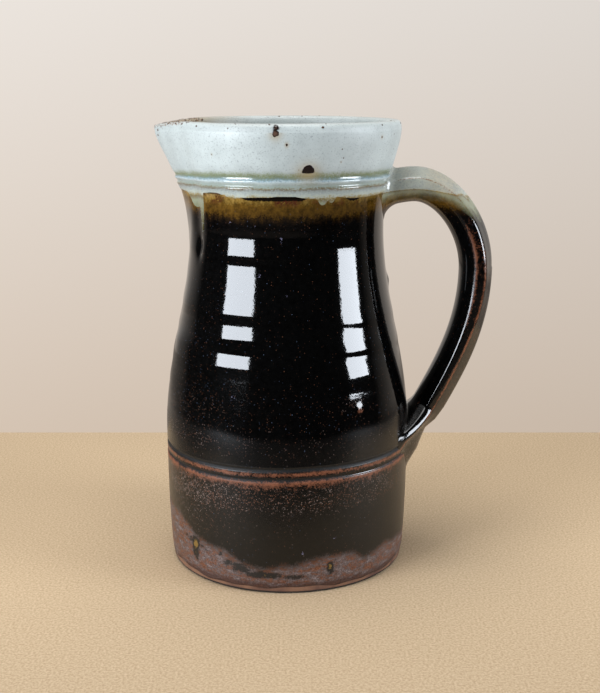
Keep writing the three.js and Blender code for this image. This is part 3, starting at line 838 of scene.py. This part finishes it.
# Iron spots: azimuth, height, width, tallness, rise, how much is cut off below, brownness
ironSpots = [(11.4, 198.7, 6.5, 4.6, 0.25, 0.85, -0.4), (-4.1, 218.4, 2.6, 2.6, 0.6, 0.0, -0.3),
             (-4.3, 215.9, 3.2, 3.2, 0.15, 0.0, 0.35), (0.8, 211.0, 1.0, 1.3, 0.12, 0.0, 0.0),
             (52.5, 213.3, 0.9, 0.9, 0.1, 0.0, 0.6), (52.8, 218.7, 0.9, 0.7, 0.12, 0.0, 0.4),
             (28.0, 203.0, 0.5, 0.5, 0.06, 0.0, 0.4), (-38.0, 206.0, 0.5, 0.6, 0.06, 0.0, 0.3),
             (140.0, 208.0, 2.4, 2.4, 0.2, 0.3, 0.1), (-150.0, 203.0, 1.4, 1.6, 0.15, 0.0, 0.2),
             (171.0, 213.0, 0.9, 1.0, 0.1, 0.0, 0.5)]


def collarLevel(a, z):
    turned = np.minimum(1.0, 1.0 - np.cos(a))
    high, low = [front + (side - tilt * np.sin(a)) * turned
                 for front, side, tilt in (collarHang["high"], collarHang["low"])]
    return z + low + (high - low) * easeAbove(z, *collarHang["highFrom"])


def collarRelief(level):
    return sum(proud * hump(level, height, wide) for height, proud, wide in collarRings)


# Tan stain round the spots, brown and iron on the lip, and a tan and brown tint inside the mouth near the
# spout
def rimStains(a, heights, outerRows):
    s = rimStain
    fromTip = np.abs(degreesApart(a, spout["azimuth"]))
    onOutside = np.zeros_like(heights)
    onOutside[:outerRows] = 1.0
    arc = np.radians(1.0) * pot["rimRadius"]
    halo = np.zeros_like(heights)
    for at, z, wide, tall, *_ in ironSpots:
        across = degreesApart(a, at) * arc / (s["haloWide"] * wide)
        apart = np.hypot(across, (heights - z) / (s["haloTall"] * tall))
        halo = np.maximum(halo, s["halo"] * np.exp(-apart ** 2) * onOutside)
    onTop = easeAbove(heights, *s["topFrom"])
    atSpout = easeBelow(fromTip, *s["spoutWithin"])
    # Inside the mouth near the spout the coat is tinted tan and brown
    inMouth = easeAbove(heights, *s["mouthFrom"])
    inMouth[:outerRows + rimCoat["lipRows"] // 2] = 0.0
    inMouth = inMouth * easeBelow(fromTip, *s["mouthWithin"])
    bloom = onTop * (s["topBloom"] + s["spoutBloom"] * atSpout)
    return {
        "collar": np.where(onOutside > 0.5, collarLevel(a, heights), s["insideLevel"]),
        "paintedLight": np.where(onOutside > 0.5, follow(collarPaintedLight, np.degrees(a)), 1.0),
        "halo": np.maximum(halo, s["mouthTan"] * inMouth),
        "bare": np.maximum(onTop * (s["topBare"] + s["spoutBare"] * atSpout), s["mouthBrown"] * inMouth),
        "bloom": bloom + s["sideBloom"] * easeAbove(heights, *s["sideFrom"])}


def makeRimCoat(material):
    c = rimCoat
    a = azimuths(c["columns"])
    edge = dipEdge(a)
    top = pot["rimHeight"]
    share = np.linspace(0.0, 1.0, c["edgeRows"])[:, None] ** c["crowding"]
    straight = np.arange(c["edgeTo"] + c["rowStep"], top, c["rowStep"])[:, None] + 0.0 * a
    outer = np.vstack([edge + share * (c["edgeTo"] - edge), straight])
    fromEdge = np.minimum(1.0, (outer - edge) / c["beadWide"])
    bead = c["bead"] * np.sqrt(1.0 - (1.0 - fromEdge) ** 2)
    bead = bead * (1.0 - c["beadFades"] * easeAbove(outer, *c["beadFadesAt"]))
    outerRadius = wallRadius(outer) + pot["coat"] - c["under"] + bead + collarRelief(collarLevel(a, outer))

    turn = np.linspace(0.0, math.pi, c["lipRows"])[:, None] + 0.0 * a
    lipRadius = pot["wall"] / 2 + pot["coat"]
    middle = pot["rimRadius"] - pot["wall"] / 2
    fromTip = np.abs(degreesApart(a, spout["azimuth"]))
    rise = lipRadius * np.sin(turn) ** lipSquare["up"]
    lipZ = top + rise * (1.0 + c["lipWander"] * waved(a, c["lipWaves"]))
    lipR = middle + lipRadius * np.sign(np.cos(turn)) * np.abs(np.cos(turn)) ** lipSquare["out"]
    lipR = lipR + c["lipLean"] * rise * easeBelow(fromTip, *c["lipLeanAt"])
    insideEdge = c["insideEdge"] + waved(a, c["insideWaves"])
    fall = np.linspace(0.0, 1.0, c["insideRows"])[1:, None]
    insideZ = top + fall * (insideEdge - top)
    insideR = wallRadius(insideZ) - pot["wall"] - pot["coat"]
    insideR = insideR + c["feather"] * easeAbove(fall, *c["featherAt"])

    # Back of the coat, inside the clay: up the inner face, over under the lip, down the outer face
    climb = np.linspace(0.0, 1.0, c["hiddenRows"])[:, None]
    backUpZ = insideEdge + climb * (top - insideEdge)
    backUpR = wallRadius(backUpZ) - pot["wall"] + c["hidden"]
    backTurn = np.linspace(math.pi, 0.0, c["hiddenTurn"])[1:-1, None] + 0.0 * a
    backLip = pot["wall"] / 2 - c["hidden"]
    backDownZ = top + climb * (edge - top)
    backDownR = wallRadius(backDownZ) - c["hidden"] + c["hiddenTuck"] * climb
    heights = np.vstack([outer, lipZ, insideZ, backUpZ, top + backLip * np.sin(backTurn), backDownZ])
    radii = np.vstack([outerRadius, lipR, insideR, backUpR, middle + backLip * np.cos(backTurn), backDownR])

    stains = rimStains(a, heights, len(outer))
    return skin("rim_coat", thrown(a, radii, heights), True, stains, material)


# Iron spots, given one by one, on the collar, each a low dome sunk at its edge
spotDome = {
    "columns": 28, "rows": 7, "innermost": 0.08, "sunk": 0.12, "lift": 0.16,
    "wobble": [(0.1, 3), (0.06, 5)], "cutBelow": 0.45, "cutAbove": 0.35, "brownMiddle": 0.5, "brownFall": 1.1,
}


def makeIronSpots(material):
    d = spotDome
    count = d["rows"] * d["columns"]
    around = np.linspace(0.0, 2.0 * math.pi, d["columns"], endpoint=False)
    out = np.linspace(1.0, d["innermost"], d["rows"])
    sunk = d["sunk"] * (out == 1.0)[:, None]
    places, faces, brownness = [], [], []
    for at, z, wide, tall, rise, cut, brown in ironSpots:
        waves = [(*wave, phase) for wave, phase in zip(d["wobble"], (at, 2.0 * z))]
        wobble = 1.0 + (1.0 - cut) * waved(around, waves)
        side = np.outer(out, np.cos(around) * wobble) * wide / 2
        up = np.outer(out, np.sin(around) * wobble) * tall
        height = z + up * np.where(up < 0.0, 0.5 - d["cutBelow"] * cut, 0.5 + d["cutAbove"] * cut)
        dome = rise * np.sqrt(np.maximum(0.0, 1.0 - out ** 2))[:, None] - sunk
        azimuth = np.radians(at) + side / pot["rimRadius"]
        radius = glazedRadius(azimuth, height) + collarRelief(collarLevel(azimuth, height)) + d["lift"] + dome
        rings = np.arange(count).reshape(d["rows"], -1) + len(places) * count
        beside = np.roll(rings, -1, axis=1)
        corners = (rings[:-1], beside[:-1], beside[1:], rings[1:])
        faces += np.stack(corners, axis=-1).reshape(-1, 4).tolist()
        faces += [rings[-1].tolist(), rings[0][::-1].tolist()]
        places.append(onAxis(azimuth, radius, height).reshape(-1, 3))
        brownness.append(np.repeat(brown + d["brownMiddle"] - d["brownFall"] * out ** 2, d["columns"]))
    return makePiece("iron_spots", np.vstack(places), faces, {"brown": np.concatenate(brownness)}, material)


# Specks of iron along the lip, scattered over the rim coat

lipSpecks = {
    "size": 0.42, "smallest": 0.3, "largest": 1.3, "flatness": 0.3, "longer": 1.25, "density": 1.0,
    "seed": 11, "rounding": 2, "brown": (0.1, 1.0), "brownSeed": 5,
}


def ironScatter(values):
    tree, given = newTree("iron specks", values)
    add = partial(addNode, tree)
    bloom = add("GeometryNodeInputNamedAttribute", {"Name": "bloom"}, data_type="FLOAT")
    density = add("Math", [bloom, given["Density"]], operation="MULTIPLY")
    points = add("GeometryNodeDistributePointsOnFaces", {
        "Mesh": given["Geometry"], "Density": density, "Seed": given["Seed"]}, out=None)
    speck = add("GeometryNodeMeshIcoSphere", {
        "Radius": given["Size"], "Subdivisions": lipSpecks["rounding"]})
    grown = add("FunctionNodeRandomValue", {2: given["Smallest"], 3: given["Largest"], "Seed": given["Seed"]},
                data_type="FLOAT")
    thickness = add("Math", [grown, given["Flatness"]], operation="MULTIPLY")
    longer = add("Math", [grown, given["Longer"]], operation="MULTIPLY")
    placed = add("GeometryNodeInstanceOnPoints", {
        "Points": points["Points"], "Instance": speck, "Rotation": points["Rotation"],
        "Scale": add("CombineXYZ", [longer, grown, thickness])})
    least, most = lipSpecks["brown"]
    brown = add("FunctionNodeRandomValue", {2: least, 3: most, "Seed": lipSpecks["brownSeed"]},
                data_type="FLOAT")
    real = add("GeometryNodeRealizeInstances", [placed])
    stored = add("GeometryNodeStoreNamedAttribute", {"Geometry": real, "Name": "brown", "Value": brown},
                 data_type="FLOAT", domain="POINT")
    soft = add("GeometryNodeSetShadeSmooth", [stored])
    dressed = add("GeometryNodeSetMaterial", {"Geometry": soft, "Material": given["Iron"]})
    add("NodeGroupOutput", [dressed])
    return tree


def makeLipSpecks(rim, material):
    piece = bpy.data.objects.new("lip_specks", rim.data.copy())
    scene.collection.objects.link(piece)
    values = {"Density": lipSpecks["density"] / mm ** 2, "Size": lipSpecks["size"] * mm,
              **{label.capitalize(): lipSpecks[label]
                 for label in ("smallest", "largest", "flatness", "longer", "seed")}, "Iron": material}
    applyNodes(piece, ironScatter(values), values)
    return piece


# Coat inside the jug, from the mouth down the wall and over the floor

linerCoat = {
    "columns": 240, "top": 188.0, "rowStep": 1.5, "floorRows": 30, "innermost": 0.02, "filletRows": 12,
    "hiddenRows": 20, "hiddenTo": 20.0, "hiddenFloor": (0.96, 0.5, 0.03), "filletFrom": 0.1,
    "ringPitch": 11.0, "ringHeight": 0.3, "calmWithin": 12.0, "hidden": 0.9,
    "poolWall": 0.25, "poolBelow": (60.0, 40.0), "poolRings": 0.12, "poolFloor": 0.45,
}


def makeLinerCoat(material):
    c = linerCoat
    a = azimuths(c["columns"])
    fillet = pot["floorFillet"]
    floor = pot["floor"] + pot["coat"]
    corner = float(wallRadius(floor + fillet)) - pot["wall"] - pot["coat"] - fillet
    profile = [(corner * share, floor) for share in np.linspace(c["innermost"], 1.0, c["floorRows"])]
    profile += [(corner + fillet * math.sin(turn), floor + fillet * (1.0 - math.cos(turn)))
                for turn in np.linspace(c["filletFrom"], math.pi / 2, c["filletRows"])]
    profile += [(float(wallRadius(z)) - pot["wall"] - pot["coat"], z)
                for z in np.arange(floor + fillet + c["rowStep"], c["top"], c["rowStep"])]
    shown = len(profile)
    profile += [(float(wallRadius(z)) - pot["wall"] + c["hidden"], z)
                for z in np.linspace(c["top"], c["hiddenTo"], c["hiddenRows"])]
    profile += [((corner + fillet) * share, pot["floor"] - c["hidden"]) for share in c["hiddenFloor"]]
    radius, z = np.array(profile).T[:, :, None]
    z = z + 0.0 * a
    rings, swirl = [np.sin(a + along * 2.0 * math.pi / c["ringPitch"]) for along in (z, radius)]
    wave = c["ringHeight"] * (np.arange(len(profile))[:, None] < shown)
    onWall = z > floor + fillet
    inner = radius + np.where(onWall, wave * rings, 0.0)
    height = z + np.where(onWall, 0.0, wave * swirl * ease(radius / c["calmWithin"]))
    pool = c["poolWall"] * easeBelow(z, *c["poolBelow"]) + c["poolRings"] * rings
    pool = np.where(onWall, pool, c["poolFloor"])
    return skin("liner_coat", thrown(a, inner, height), False, {"pool": pool}, material)


# Pulled handle: a strap with a low rib and two flutes down its back and soft arrises at its sides, sunk and
# filleted into the wall, and wiped out wide at its tail
strap = {
    "rootHeight": 186.0, "sunk": 10.0, "crestOut": 15.0, "crestRise": 3.0, "standOff": 33.3,
    "reachHeight": 148.0, "belly": 0.39, "tailHeight": 64.0, "tailLift": 3.7,
    "tailLean": math.radians(28.4), "tailLength": 34.0,
    "rootThick": 15.0, "tailThick": 12.5, "width": 24.5, "lowerBelow": (145.0, 45.0),
    "fanWidth": 54.0, "fanFrom": 78.0, "fanTo": 64.0, "fanEase": 0.25, "fanBelly": 1.5,
    "coat": 1.2, "softening": 5, "underFillet": 7.0, "underTurn": 0.3, "topFillet": 3.5, "sideFillet": 4.5,
    "tailFillet": 1.6, "holdShare": 0.6, "deepest": -1.5,
    "samples": (200, 300, 400, 200),                       # on the legs of the centre line
    "rootRows": (30.0, 0.5), "rowStep": 1.1, "tailRows": (75.0, 0.55),     # length and finer step at the ends
}
# How far the back stands off the centre line, by the centre's height. It steps in at the knee, where the
# thumb wiped it.
strapBack = [(46, 7.2), (58, 7.4), (64, 6.2), (68.5, 5.5), (73.5, 7.9), (80, 8.6), (110, 8.6), (148, 8.5)]
# Half of the section, from the rib round to the belly, as shares of half the width and half the thickness:
# on the arch, on the lower strap, at the fan, and the columns up to the next corner
strapCorners = [((0.0, 1.03), (0.0, 1.03), (0.0, 1.0), 8),
                ((0.25, 0.89), (0.25, 0.94), (0.3, 0.78), 7),
                ((0.47, 0.74), (0.5, 0.68), (0.7, 0.06), 9),
                ((0.92, 0.46), (0.93, 0.2), (0.95, -0.1), 8),
                ((1.01, -0.14), (1.0, -0.26), (1.0, -0.45), 9),
                ((0.67, -0.72), (0.67, -0.74), (0.92, -0.75), 7),
                ((0.33, -0.93), (0.33, -0.93), (0.45, -1.0), 7),
                ((0.0, -1.0), (0.0, -1.0), (0.0, -1.0), 0)]
# How the glaze lies on the strap: amounts, and heights with their fades or half widths. Widths on the section
# are in columns.
strapGlaze = {
    "arrisWide": 1.5, "behindArris": 2.4, "behindWide": 1.6, "faceWide": 4.0, "fanFull": 0.4,
    "flankAt": (3.0, 1.0, 4.0), "flankBelow": (176.0, 20.0), "underPast": 2.0, "underFade": 3.0,
    "offWall": (1.0, 5.0),
    "rib": 0.62, "back": 0.82, "backKept": 0.8, "backKeptAt": (169.0, 15.0),
    "side": 0.1, "sideWorn": 0.6, "sideWornAt": (112.0, 176.0, 12.0, 12.0), "belly": 0.2,
    "face": [(0.36, 162.0, 16.0), (0.2, 130.0, 20.0)], "nearWall": 0.3, "fanOff": 0.3, "flank": 0.24,
    "fanSatin": 1.2, "tailBelow": (80.0, 8.0), "tailNear": (2.6, 1.6), "underSatin": 1.4,
    "underBelow": (84.0, 6.0), "sideSatin": 2.0, "sideSatinAt": (114.0, 180.0, 8.0, 8.0), "flankSatin": 0.5,
    "fanCrystals": 0.3, "flankCrystals": 0.16, "ribBare": 0.72, "backBare": 0.78,
}
# How far the dip came down the strap: heights, and distances from the axis with their fades
strapDip = {
    "line": 188.0, "back": 12.0, "backFrom": (-0.7, 1.3), "root": 5.0, "rootWithin": (82.0, 16.0),
    "flutes": 3.5, "fluteWaves": [(0.8, 0.55, 1.0)], "edgeWaves": [(0.7, 0.31, 0.0)],
    "archFrom": (84.0, 6.0), "cover": 0.66, "coverArch": 0.34, "coverArchFrom": (80.0, 10.0),
    "coverRoot": 0.2, "coverRootWithin": (72.0, 8.0),
    "collar": 181.5, "collarSteps": [(3.0, 0.0, 6.0), (4.6, 7.0, 3.0)],    # rise, where on the dip, fade
}


def bezier(p, q, r, s, count):
    t = np.linspace(0.0, 1.0, count)[:, None]
    return (1 - t) ** 3 * p + 3 * (1 - t) ** 2 * t * q + 3 * (1 - t) * t ** 2 * r + t ** 3 * s


# Centre line in the plane of the handle, as (x, z), with the share of its length and its direction
def strapLine():
    h = strap
    root = np.array([float(wallRadius(h["rootHeight"])), h["rootHeight"]])
    start = root - [h["sunk"], 0.0]
    crest = root + [h["crestOut"], h["crestRise"]]
    reach = np.array([pot["bellyRadius"] + h["standOff"], h["reachHeight"]])
    fall = np.array([-math.sin(h["tailLean"]), -math.cos(h["tailLean"])])
    landing = np.array([float(wallRadius(h["tailHeight"])) + h["tailLift"], h["tailHeight"]])
    arch = (reach - crest) / 2
    drop = (reach[1] - landing[1]) * h["belly"]
    onRoot, onArch, onFall, onTail = h["samples"]
    legs = [
        bezier(start, root, crest - [h["crestOut"] / 2, 0.0], crest, onRoot),
        bezier(crest, crest + [arch[0], 0.0], reach - [0.0, arch[1]], reach, onArch),
        bezier(reach, reach - [0.0, drop], landing - fall * drop, landing, onFall),
        landing + fall * np.linspace(0.0, h["tailLength"], onTail)[:, None]]
    line = np.vstack([leg if i == 0 else leg[1:] for i, leg in enumerate(legs)])
    length = np.concatenate([[0.0], np.cumsum(np.linalg.norm(np.diff(line, axis=0), axis=1))])
    ends = length[-1]
    (rootEnd, rootStep), (tailLength, tailStep) = h["rootRows"], h["tailRows"]
    at = np.concatenate([
        np.arange(0.0, rootEnd, rootStep), np.arange(rootEnd, ends - tailLength, h["rowStep"]),
        np.arange(ends - tailLength, ends, tailStep)])
    points = np.stack([np.interp(at, length, line[:, i]) for i in (0, 1)], axis=-1)
    tangent = np.gradient(points, at, axis=0)
    return at / ends, points, tangent / np.linalg.norm(tangent, axis=1)[:, None]


# Section of the strap as (across, out), all the way round from the rib
def strapSection(halfWide, halfThick, back, lower, fan):
    corners = []
    for arch, low, wiped, _ in strapCorners:
        strapped = np.array(arch) + lower * (np.array(low) - arch)
        corners.append(strapped + fan * (wiped - strapped))
    half = []
    for start, end, (_, _, _, steps) in zip(corners, corners[1:], strapCorners):
        half += [start + (end - start) * i / steps for i in range(steps)]
    half = np.array(half + [corners[-1]])
    loop = np.vstack([half, half[-2:0:-1] * [-1.0, 1.0]])
    for _ in range(strap["softening"]):
        loop = 0.5 * loop + 0.25 * (np.roll(loop, 1, axis=0) + np.roll(loop, -1, axis=0))
    depth = np.where(loop[:, 1] > 0.0, back, halfThick)
    return np.stack([loop[:, 0] * halfWide, loop[:, 1] * depth], axis=-1)


# Glaze thin over the rib and the arrises, dull on the fan, the flanks and the underside
def strapMarks(x, z, gap, outShare, fan):
    g = strapGlaze
    d = strapDip
    corners = np.cumsum([0] + [steps for _, _, _, steps in strapCorners[:-1]])
    loop = x.shape[1]
    column = np.arange(loop)[None, :]
    fromRib = np.minimum(column, loop - column)

    def onBoth(at, width):                                 # the same column on both sides of the rib
        return np.maximum(hump(column, at, width), hump(column, loop - at, width))

    onRib, _, _, onBack, onSide, onBelly = [onBoth(at, g["arrisWide"]) for at in corners[:6]]
    behind = onBoth(corners[3] - g["behindArris"], g["behindWide"])
    onFace = onBoth((corners[3] + corners[4]) / 2, g["faceWide"])
    onFan = ease((fromRib < corners[3]) * fan / g["fanFull"])
    past, short, fade = g["flankAt"]
    onFlank = within(fromRib, past, corners[3] - short, fade, fade) * easeBelow(z, *g["flankBelow"])
    onUnder = within(fromRib, corners[4], corners[5] + g["underPast"], g["underFade"], g["underFade"])
    offWall = easeAbove(gap, *g["offWall"])
    backEdge = onBack * (1.0 - g["backKept"] * hump(z, *g["backKeptAt"]))
    thin = g["rib"] * onRib * (1.0 - fan) + g["back"] * (backEdge + fan * (behind - onBack))
    thin = thin + (g["side"] + g["sideWorn"] * within(z, *g["sideWornAt"])) * onSide + g["belly"] * onBelly
    thin = thin + sum(amount * hump(z, at, tall) for amount, at, tall in g["face"]) * onFace
    clear = np.maximum(offWall, ease(fan / g["fanOff"]))
    thin = thin * (g["nearWall"] + (1.0 - g["nearWall"]) * clear) + g["flank"] * onFlank
    satin = np.maximum(g["fanSatin"] * onFan, easeBelow(z, *g["tailBelow"]) * easeBelow(gap, *g["tailNear"]))
    satin = np.maximum(satin, g["underSatin"] * onUnder * easeBelow(z, *g["underBelow"]))
    satin = np.maximum(satin, g["sideSatin"] * onSide * within(z, *g["sideSatinAt"]))

    # The dip reached lower on the back than on the sides and the belly
    toBack = easeAbove(outShare, *d["backFrom"])
    dipped = z - d["line"] + d["back"] * toBack + d["root"] * easeBelow(x, *d["rootWithin"])
    inFlute = np.sin(math.pi * np.clip(fromRib / corners[3], 0.0, 1.0)) ** 2
    ripple = waved(fromRib, d["fluteWaves"]) + waved(column, d["edgeWaves"])
    dipped = dipped + (d["flutes"] * inFlute + ripple) * easeAbove(x, *d["archFrom"])
    cover = d["cover"] + d["coverArch"] * easeAbove(x, *d["coverArchFrom"])
    return {
        "thin": thin, "satin": np.maximum(satin, g["flankSatin"] * onFlank),
        "crystal": np.maximum(g["fanCrystals"] * onFan, g["flankCrystals"] * onFlank),
        "bare": (g["ribBare"] * onRib + g["backBare"] * onBack) * offWall, "dipped": dipped,
        "cover": cover + d["coverRoot"] * easeBelow(x, *d["coverRootWithin"]),
        "collar": d["collar"] + sum(rise * easeAbove(dipped, *step) for rise, *step in d["collarSteps"]),
        "paintedLight": 1.0, "speckle": 0.1, "amberPaintedLight": 1.4, "halo": 0.0, "smearAndGlint": 0.0, "drop": 0.0,
        "footGap": 40.0, "underDip": 50.0}                 # far from the foot and from the dip line


def makeHandle(material):
    h = strap
    share, centre, tangent = strapLine()
    outward = np.stack([-tangent[:, 1], tangent[:, 0]], axis=-1)
    onArch = centre[:, 1] > h["reachHeight"]
    fan = np.clip((h["fanFrom"] - centre[:, 1]) / (h["fanFrom"] - h["fanTo"]), 0.0, 1.0)
    fan = np.where(onArch, 0.0, (1.0 - h["fanEase"]) * fan + h["fanEase"] * ease(fan))
    thick = h["rootThick"] + (h["tailThick"] - h["rootThick"]) * share
    wide = h["width"] + (h["fanWidth"] - h["width"]) * fan
    back = np.where(onArch, 0.5 * thick + h["coat"], follow(strapBack, centre[:, 1]))
    belly = thick / 2 + h["coat"] + h["fanBelly"] * fan
    lower = np.where(onArch, 0.0, easeBelow(centre[:, 1], *h["lowerBelow"]))
    sections = np.stack([strapSection(*given) for given in zip(wide / 2, belly, back, lower, fan)])
    across, out = sections[:, :, 0], sections[:, :, 1]
    curve = wallRadius(centre[:, 1])[:, None]
    wrap = fan[:, None] * (curve - np.sqrt(np.maximum(0.0, curve ** 2 - across ** 2)))
    x = centre[:, :1] + outward[:, :1] * out - wrap
    z = centre[:, 1:] + outward[:, 1:] * out

    # Fillets: near the wall each point slides along it, away from the strap, and is set at its height over it
    gap = np.hypot(x, across) - glazedRadius(np.arctan2(x, -across), z)
    size = np.hypot(across, out)
    sideways = across / size
    upward = outward[:, 1:] * out / size
    upright = h["topFillet"] + (h["underFillet"] - h["topFillet"]) * ease(-out / size + h["underTurn"])
    fillet = np.maximum(upright, h["sideFillet"] * np.abs(sideways))
    fillet = np.where(onArch[:, None], fillet, h["tailFillet"])
    near = np.clip(gap, 0.0, fillet)
    slide = fillet - np.sqrt(fillet ** 2 - (fillet - near) ** 2)
    run = np.maximum(1e-6, np.hypot(sideways, upward))
    y = across + sideways / run * slide
    z = z + upward / run * slide
    hold = np.where(gap < fillet, ease((fillet - gap) / (h["holdShare"] * fillet)), 0.0)
    azimuth = np.arctan2(x, -y)
    radius = np.hypot(x, y)
    radius = radius + hold * (glazedRadius(azimuth, z) + np.maximum(gap, h["deepest"]) - radius)
    points = onAxis(azimuth, radius, z)

    marks = strapMarks(x, z, gap, 2.0 * out / thick[:, None], fan[:, None])
    return skin("pulled_handle", points, False, marks, material)


# Build

materials = {name: makeMaterial(name, look) for name, look in (
    ("tenmoku iron glaze", tenmokuLook), ("pale ash glaze", paleLook), ("ash glaze over tenmoku", dippedLook),
    ("poured ash glaze", linerLook), ("bare stoneware", stonewareLook), ("melted iron bloom", ironLook))}
print("materials made:", len(materials))
body = makeClayBody(materials["bare stoneware"])
wall = makeWallCoat(materials["tenmoku iron glaze"])
print("body and wall coat made")
rim = makeRimCoat(materials["pale ash glaze"])
inside = makeLinerCoat(materials["poured ash glaze"])
print("rim and liner coats made")
spots = makeIronSpots(materials["melted iron bloom"])
specks = makeLipSpecks(rim, materials["melted iron bloom"])
print("iron spots made, faces of the lip's specks:", len(specks.data.polygons))
handle = makeHandle(materials["ash glaze over tenmoku"])
print("handle made")

for piece, node, slot in ((body, "thrown_body", "clay"), (wall, "tenmoku_glaze", "dark_glaze"),
                          (rim, "rim_glaze", "pale_glaze"), (inside, "liner_glaze", "inside_glaze"),
                          (handle, "handle", "clay")):
    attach(piece, "root")
    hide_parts(node)
for piece in (spots, specks):
    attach(piece, "root")


# Stage: a sheet of tan paper, two softboxes, a lamp overhead and a pale wall far behind

stage = {
    "left": -215.0, "right": 330.0, "front": -154.0, "back": 192.0,
    # Painted shade: the paper is dimmer towards the front
    "paper": "#d6bc99", "roughness": 0.9, "paintedFalloff": (-40.0, -154.0, 1.0, 0.86),       # dimmer towards the front
    "noises": {"fibre": (1.1, 3.0, 0.6)}, "layers": [("fibrous", "fibre", {}, (0.35, 0.68), "#b69975")],
}
# The studio, by direction: the colours of the wall and where it pales upwards, its shade across, and what
# gloss sees of it behind the jug, above the table and on the table
studio = {
    "high": "#ebe4dd", "low": "#d4c3b2", "pales": (-0.3, 0.06), "across": (-0.25, 0.25, 1.0, 0.88),
    "lean": 0.14, "behind": (0.2, 0.85, 0.02), "above": (-0.23, -0.16, 0.2),
    "table": (0.1, 0.6, 0.2, 0.62), "tableEdge": (-0.18, -0.24, 0.0), "fill": 0.16,
}
# Azimuths of the sides seen from the jug, heights of the lower and upper edge in mm, radiance
softboxes = [{"from": -67.0, "to": -37.5, "low": 36.0, "high": 460.0, "radiance": 22.5},
             {"from": 60.8, "to": 85.2, "low": 73.0, "high": 460.0, "radiance": 22.5}]
overhead = {"side": 0.7, "radiance": 5.8, "place": (-0.1, -0.02, 1.1)}    # in metres
softboxDistance = 1.1                                      # in metres
lampTint = "#eff6ff"


# Tan wrapping paper, matt, with short darker fibres and painted shade towards the front
def paperLook(tree):
    sources = gatherSources(tree, stage["noises"])
    colour = layTints(tree, sources, linear(stage["paper"]), stage["layers"])
    # Painted shade: the paper darkens towards the front, as if the light fell off there
    shade = addNode(tree, "MapRange", [sources["y"], *stage["paintedFalloff"]])
    colour = addNode(tree, "Mix", [1.0, colour, shade], data_type="RGBA", blend_type="MULTIPLY")
    return {"colour": colour, "roughness": stage["roughness"]}


def addLamp(name, width, height, radiance, place, turn=None):
    lamp = bpy.data.lights.new(name, "AREA")
    lamp.shape = "RECTANGLE"
    lamp.size = width
    lamp.size_y = height
    lamp.energy = radiance * math.pi * width * height
    holder = bpy.data.objects.new(name, lamp)
    holder.location = place
    holder.visible_camera = False
    if turn is not None:                                   # faces the jug from the side
        holder.rotation_euler = (math.pi / 2, 0.0, turn)
        lamp.color = linear(lampTint)[:3]
    scene.collection.objects.link(holder)


def makeStage():
    corners = [(stage["left"], stage["front"]), (stage["right"], stage["front"]),
               (stage["right"], stage["back"]), (stage["left"], stage["back"])]
    mesh = bpy.data.meshes.new("paper_floor")
    mesh.from_pydata([(x * mm, y * mm, 0.0) for x, y in corners], [], [(0, 1, 2, 3)])
    mesh.materials.append(makeMaterial("tan paper", paperLook))
    floor = bpy.data.objects.new("paper_floor", mesh)
    scene.collection.objects.link(floor)
    for i, box in enumerate(softboxes):
        turn = math.radians(box["from"] + box["to"]) / 2
        width = 2.0 * softboxDistance * math.tan(math.radians(box["to"] - box["from"]) / 2)
        middle = (box["high"] + box["low"]) / 2 * mm
        place = (softboxDistance * math.sin(turn), -softboxDistance * math.cos(turn), middle)
        addLamp(f"softbox_{i}", width, (box["high"] - box["low"]) * mm, box["radiance"], place, turn)
    addLamp("overhead", overhead["side"], overhead["side"], overhead["radiance"], overhead["place"])


# The camera sees a pale wall all round; gloss sees it behind the jug and the dark in front
def makeWorld():
    world = bpy.data.worlds.new("studio")
    scene.world = world
    world.use_nodes = True
    tree = world.node_tree
    tree.nodes.clear()
    add = partial(addNode, tree)
    rays = add("LightPath", out=None)
    x, y, z = add("SeparateXYZ", [add("TexCoord", out=None)["Generated"]], out=None)
    pales = add("MapRange", [z, *studio["pales"]])
    wallColour = add("Mix", [pales, linear(studio["low"]), linear(studio["high"])], data_type="RGBA")
    across = add("MapRange", [x, *studio["across"]])
    aside = add("Math", [x, studio["lean"], y], operation="MULTIPLY_ADD")
    behind = add("MapRange", [aside, *studio["behind"]])
    above = add("MapRange", [z, *studio["above"]])
    behind = add("Math", [behind, above], operation="MULTIPLY")
    table = add("MapRange", [aside, *studio["table"]])
    below = add("MapRange", [z, *studio["tableEdge"], table])
    behind = add("Math", [behind, below], operation="MAXIMUM")
    seen = add("Math", [rays["Is Camera Ray"], behind], operation="MAXIMUM")
    seen = add("Math", [seen, across], operation="MULTIPLY")
    gloss = add("Math", [rays["Is Glossy Ray"], rays["Is Transmission Ray"]], operation="MAXIMUM")
    shown = add("Math", [gloss, rays["Is Camera Ray"]], operation="MAXIMUM")
    strength = add("Mix", [shown, studio["fill"], seen])
    colour = add("Mix", [shown, linear(lampTint), wallColour], data_type="RGBA")
    light = add("Background", {"Color": colour, "Strength": strength})
    add("OutputWorld", {"Surface": light})


# Camera, found from the photograph's outline: it stands in front and looks slightly down
view = {"place": (6.56, -556.8, 240.6), "down": 13.47, "lens": 58.8, "sensor": 36.0, "clip": (0.01, 20.0)}


def makeCamera():
    data = bpy.data.cameras.new("camera")
    data.lens = view["lens"]
    data.sensor_width = view["sensor"]
    data.sensor_fit = "AUTO"
    data.clip_start, data.clip_end = view["clip"]
    camera = bpy.data.objects.new("camera", data)
    camera.location = [v * mm for v in view["place"]]
    camera.rotation_euler = (math.radians(90.0 - view["down"]), 0.0, 0.0)
    scene.collection.objects.link(camera)
    scene.camera = camera


makeStage()
makeWorld()
makeCamera()
print("stage, lamps and camera made")
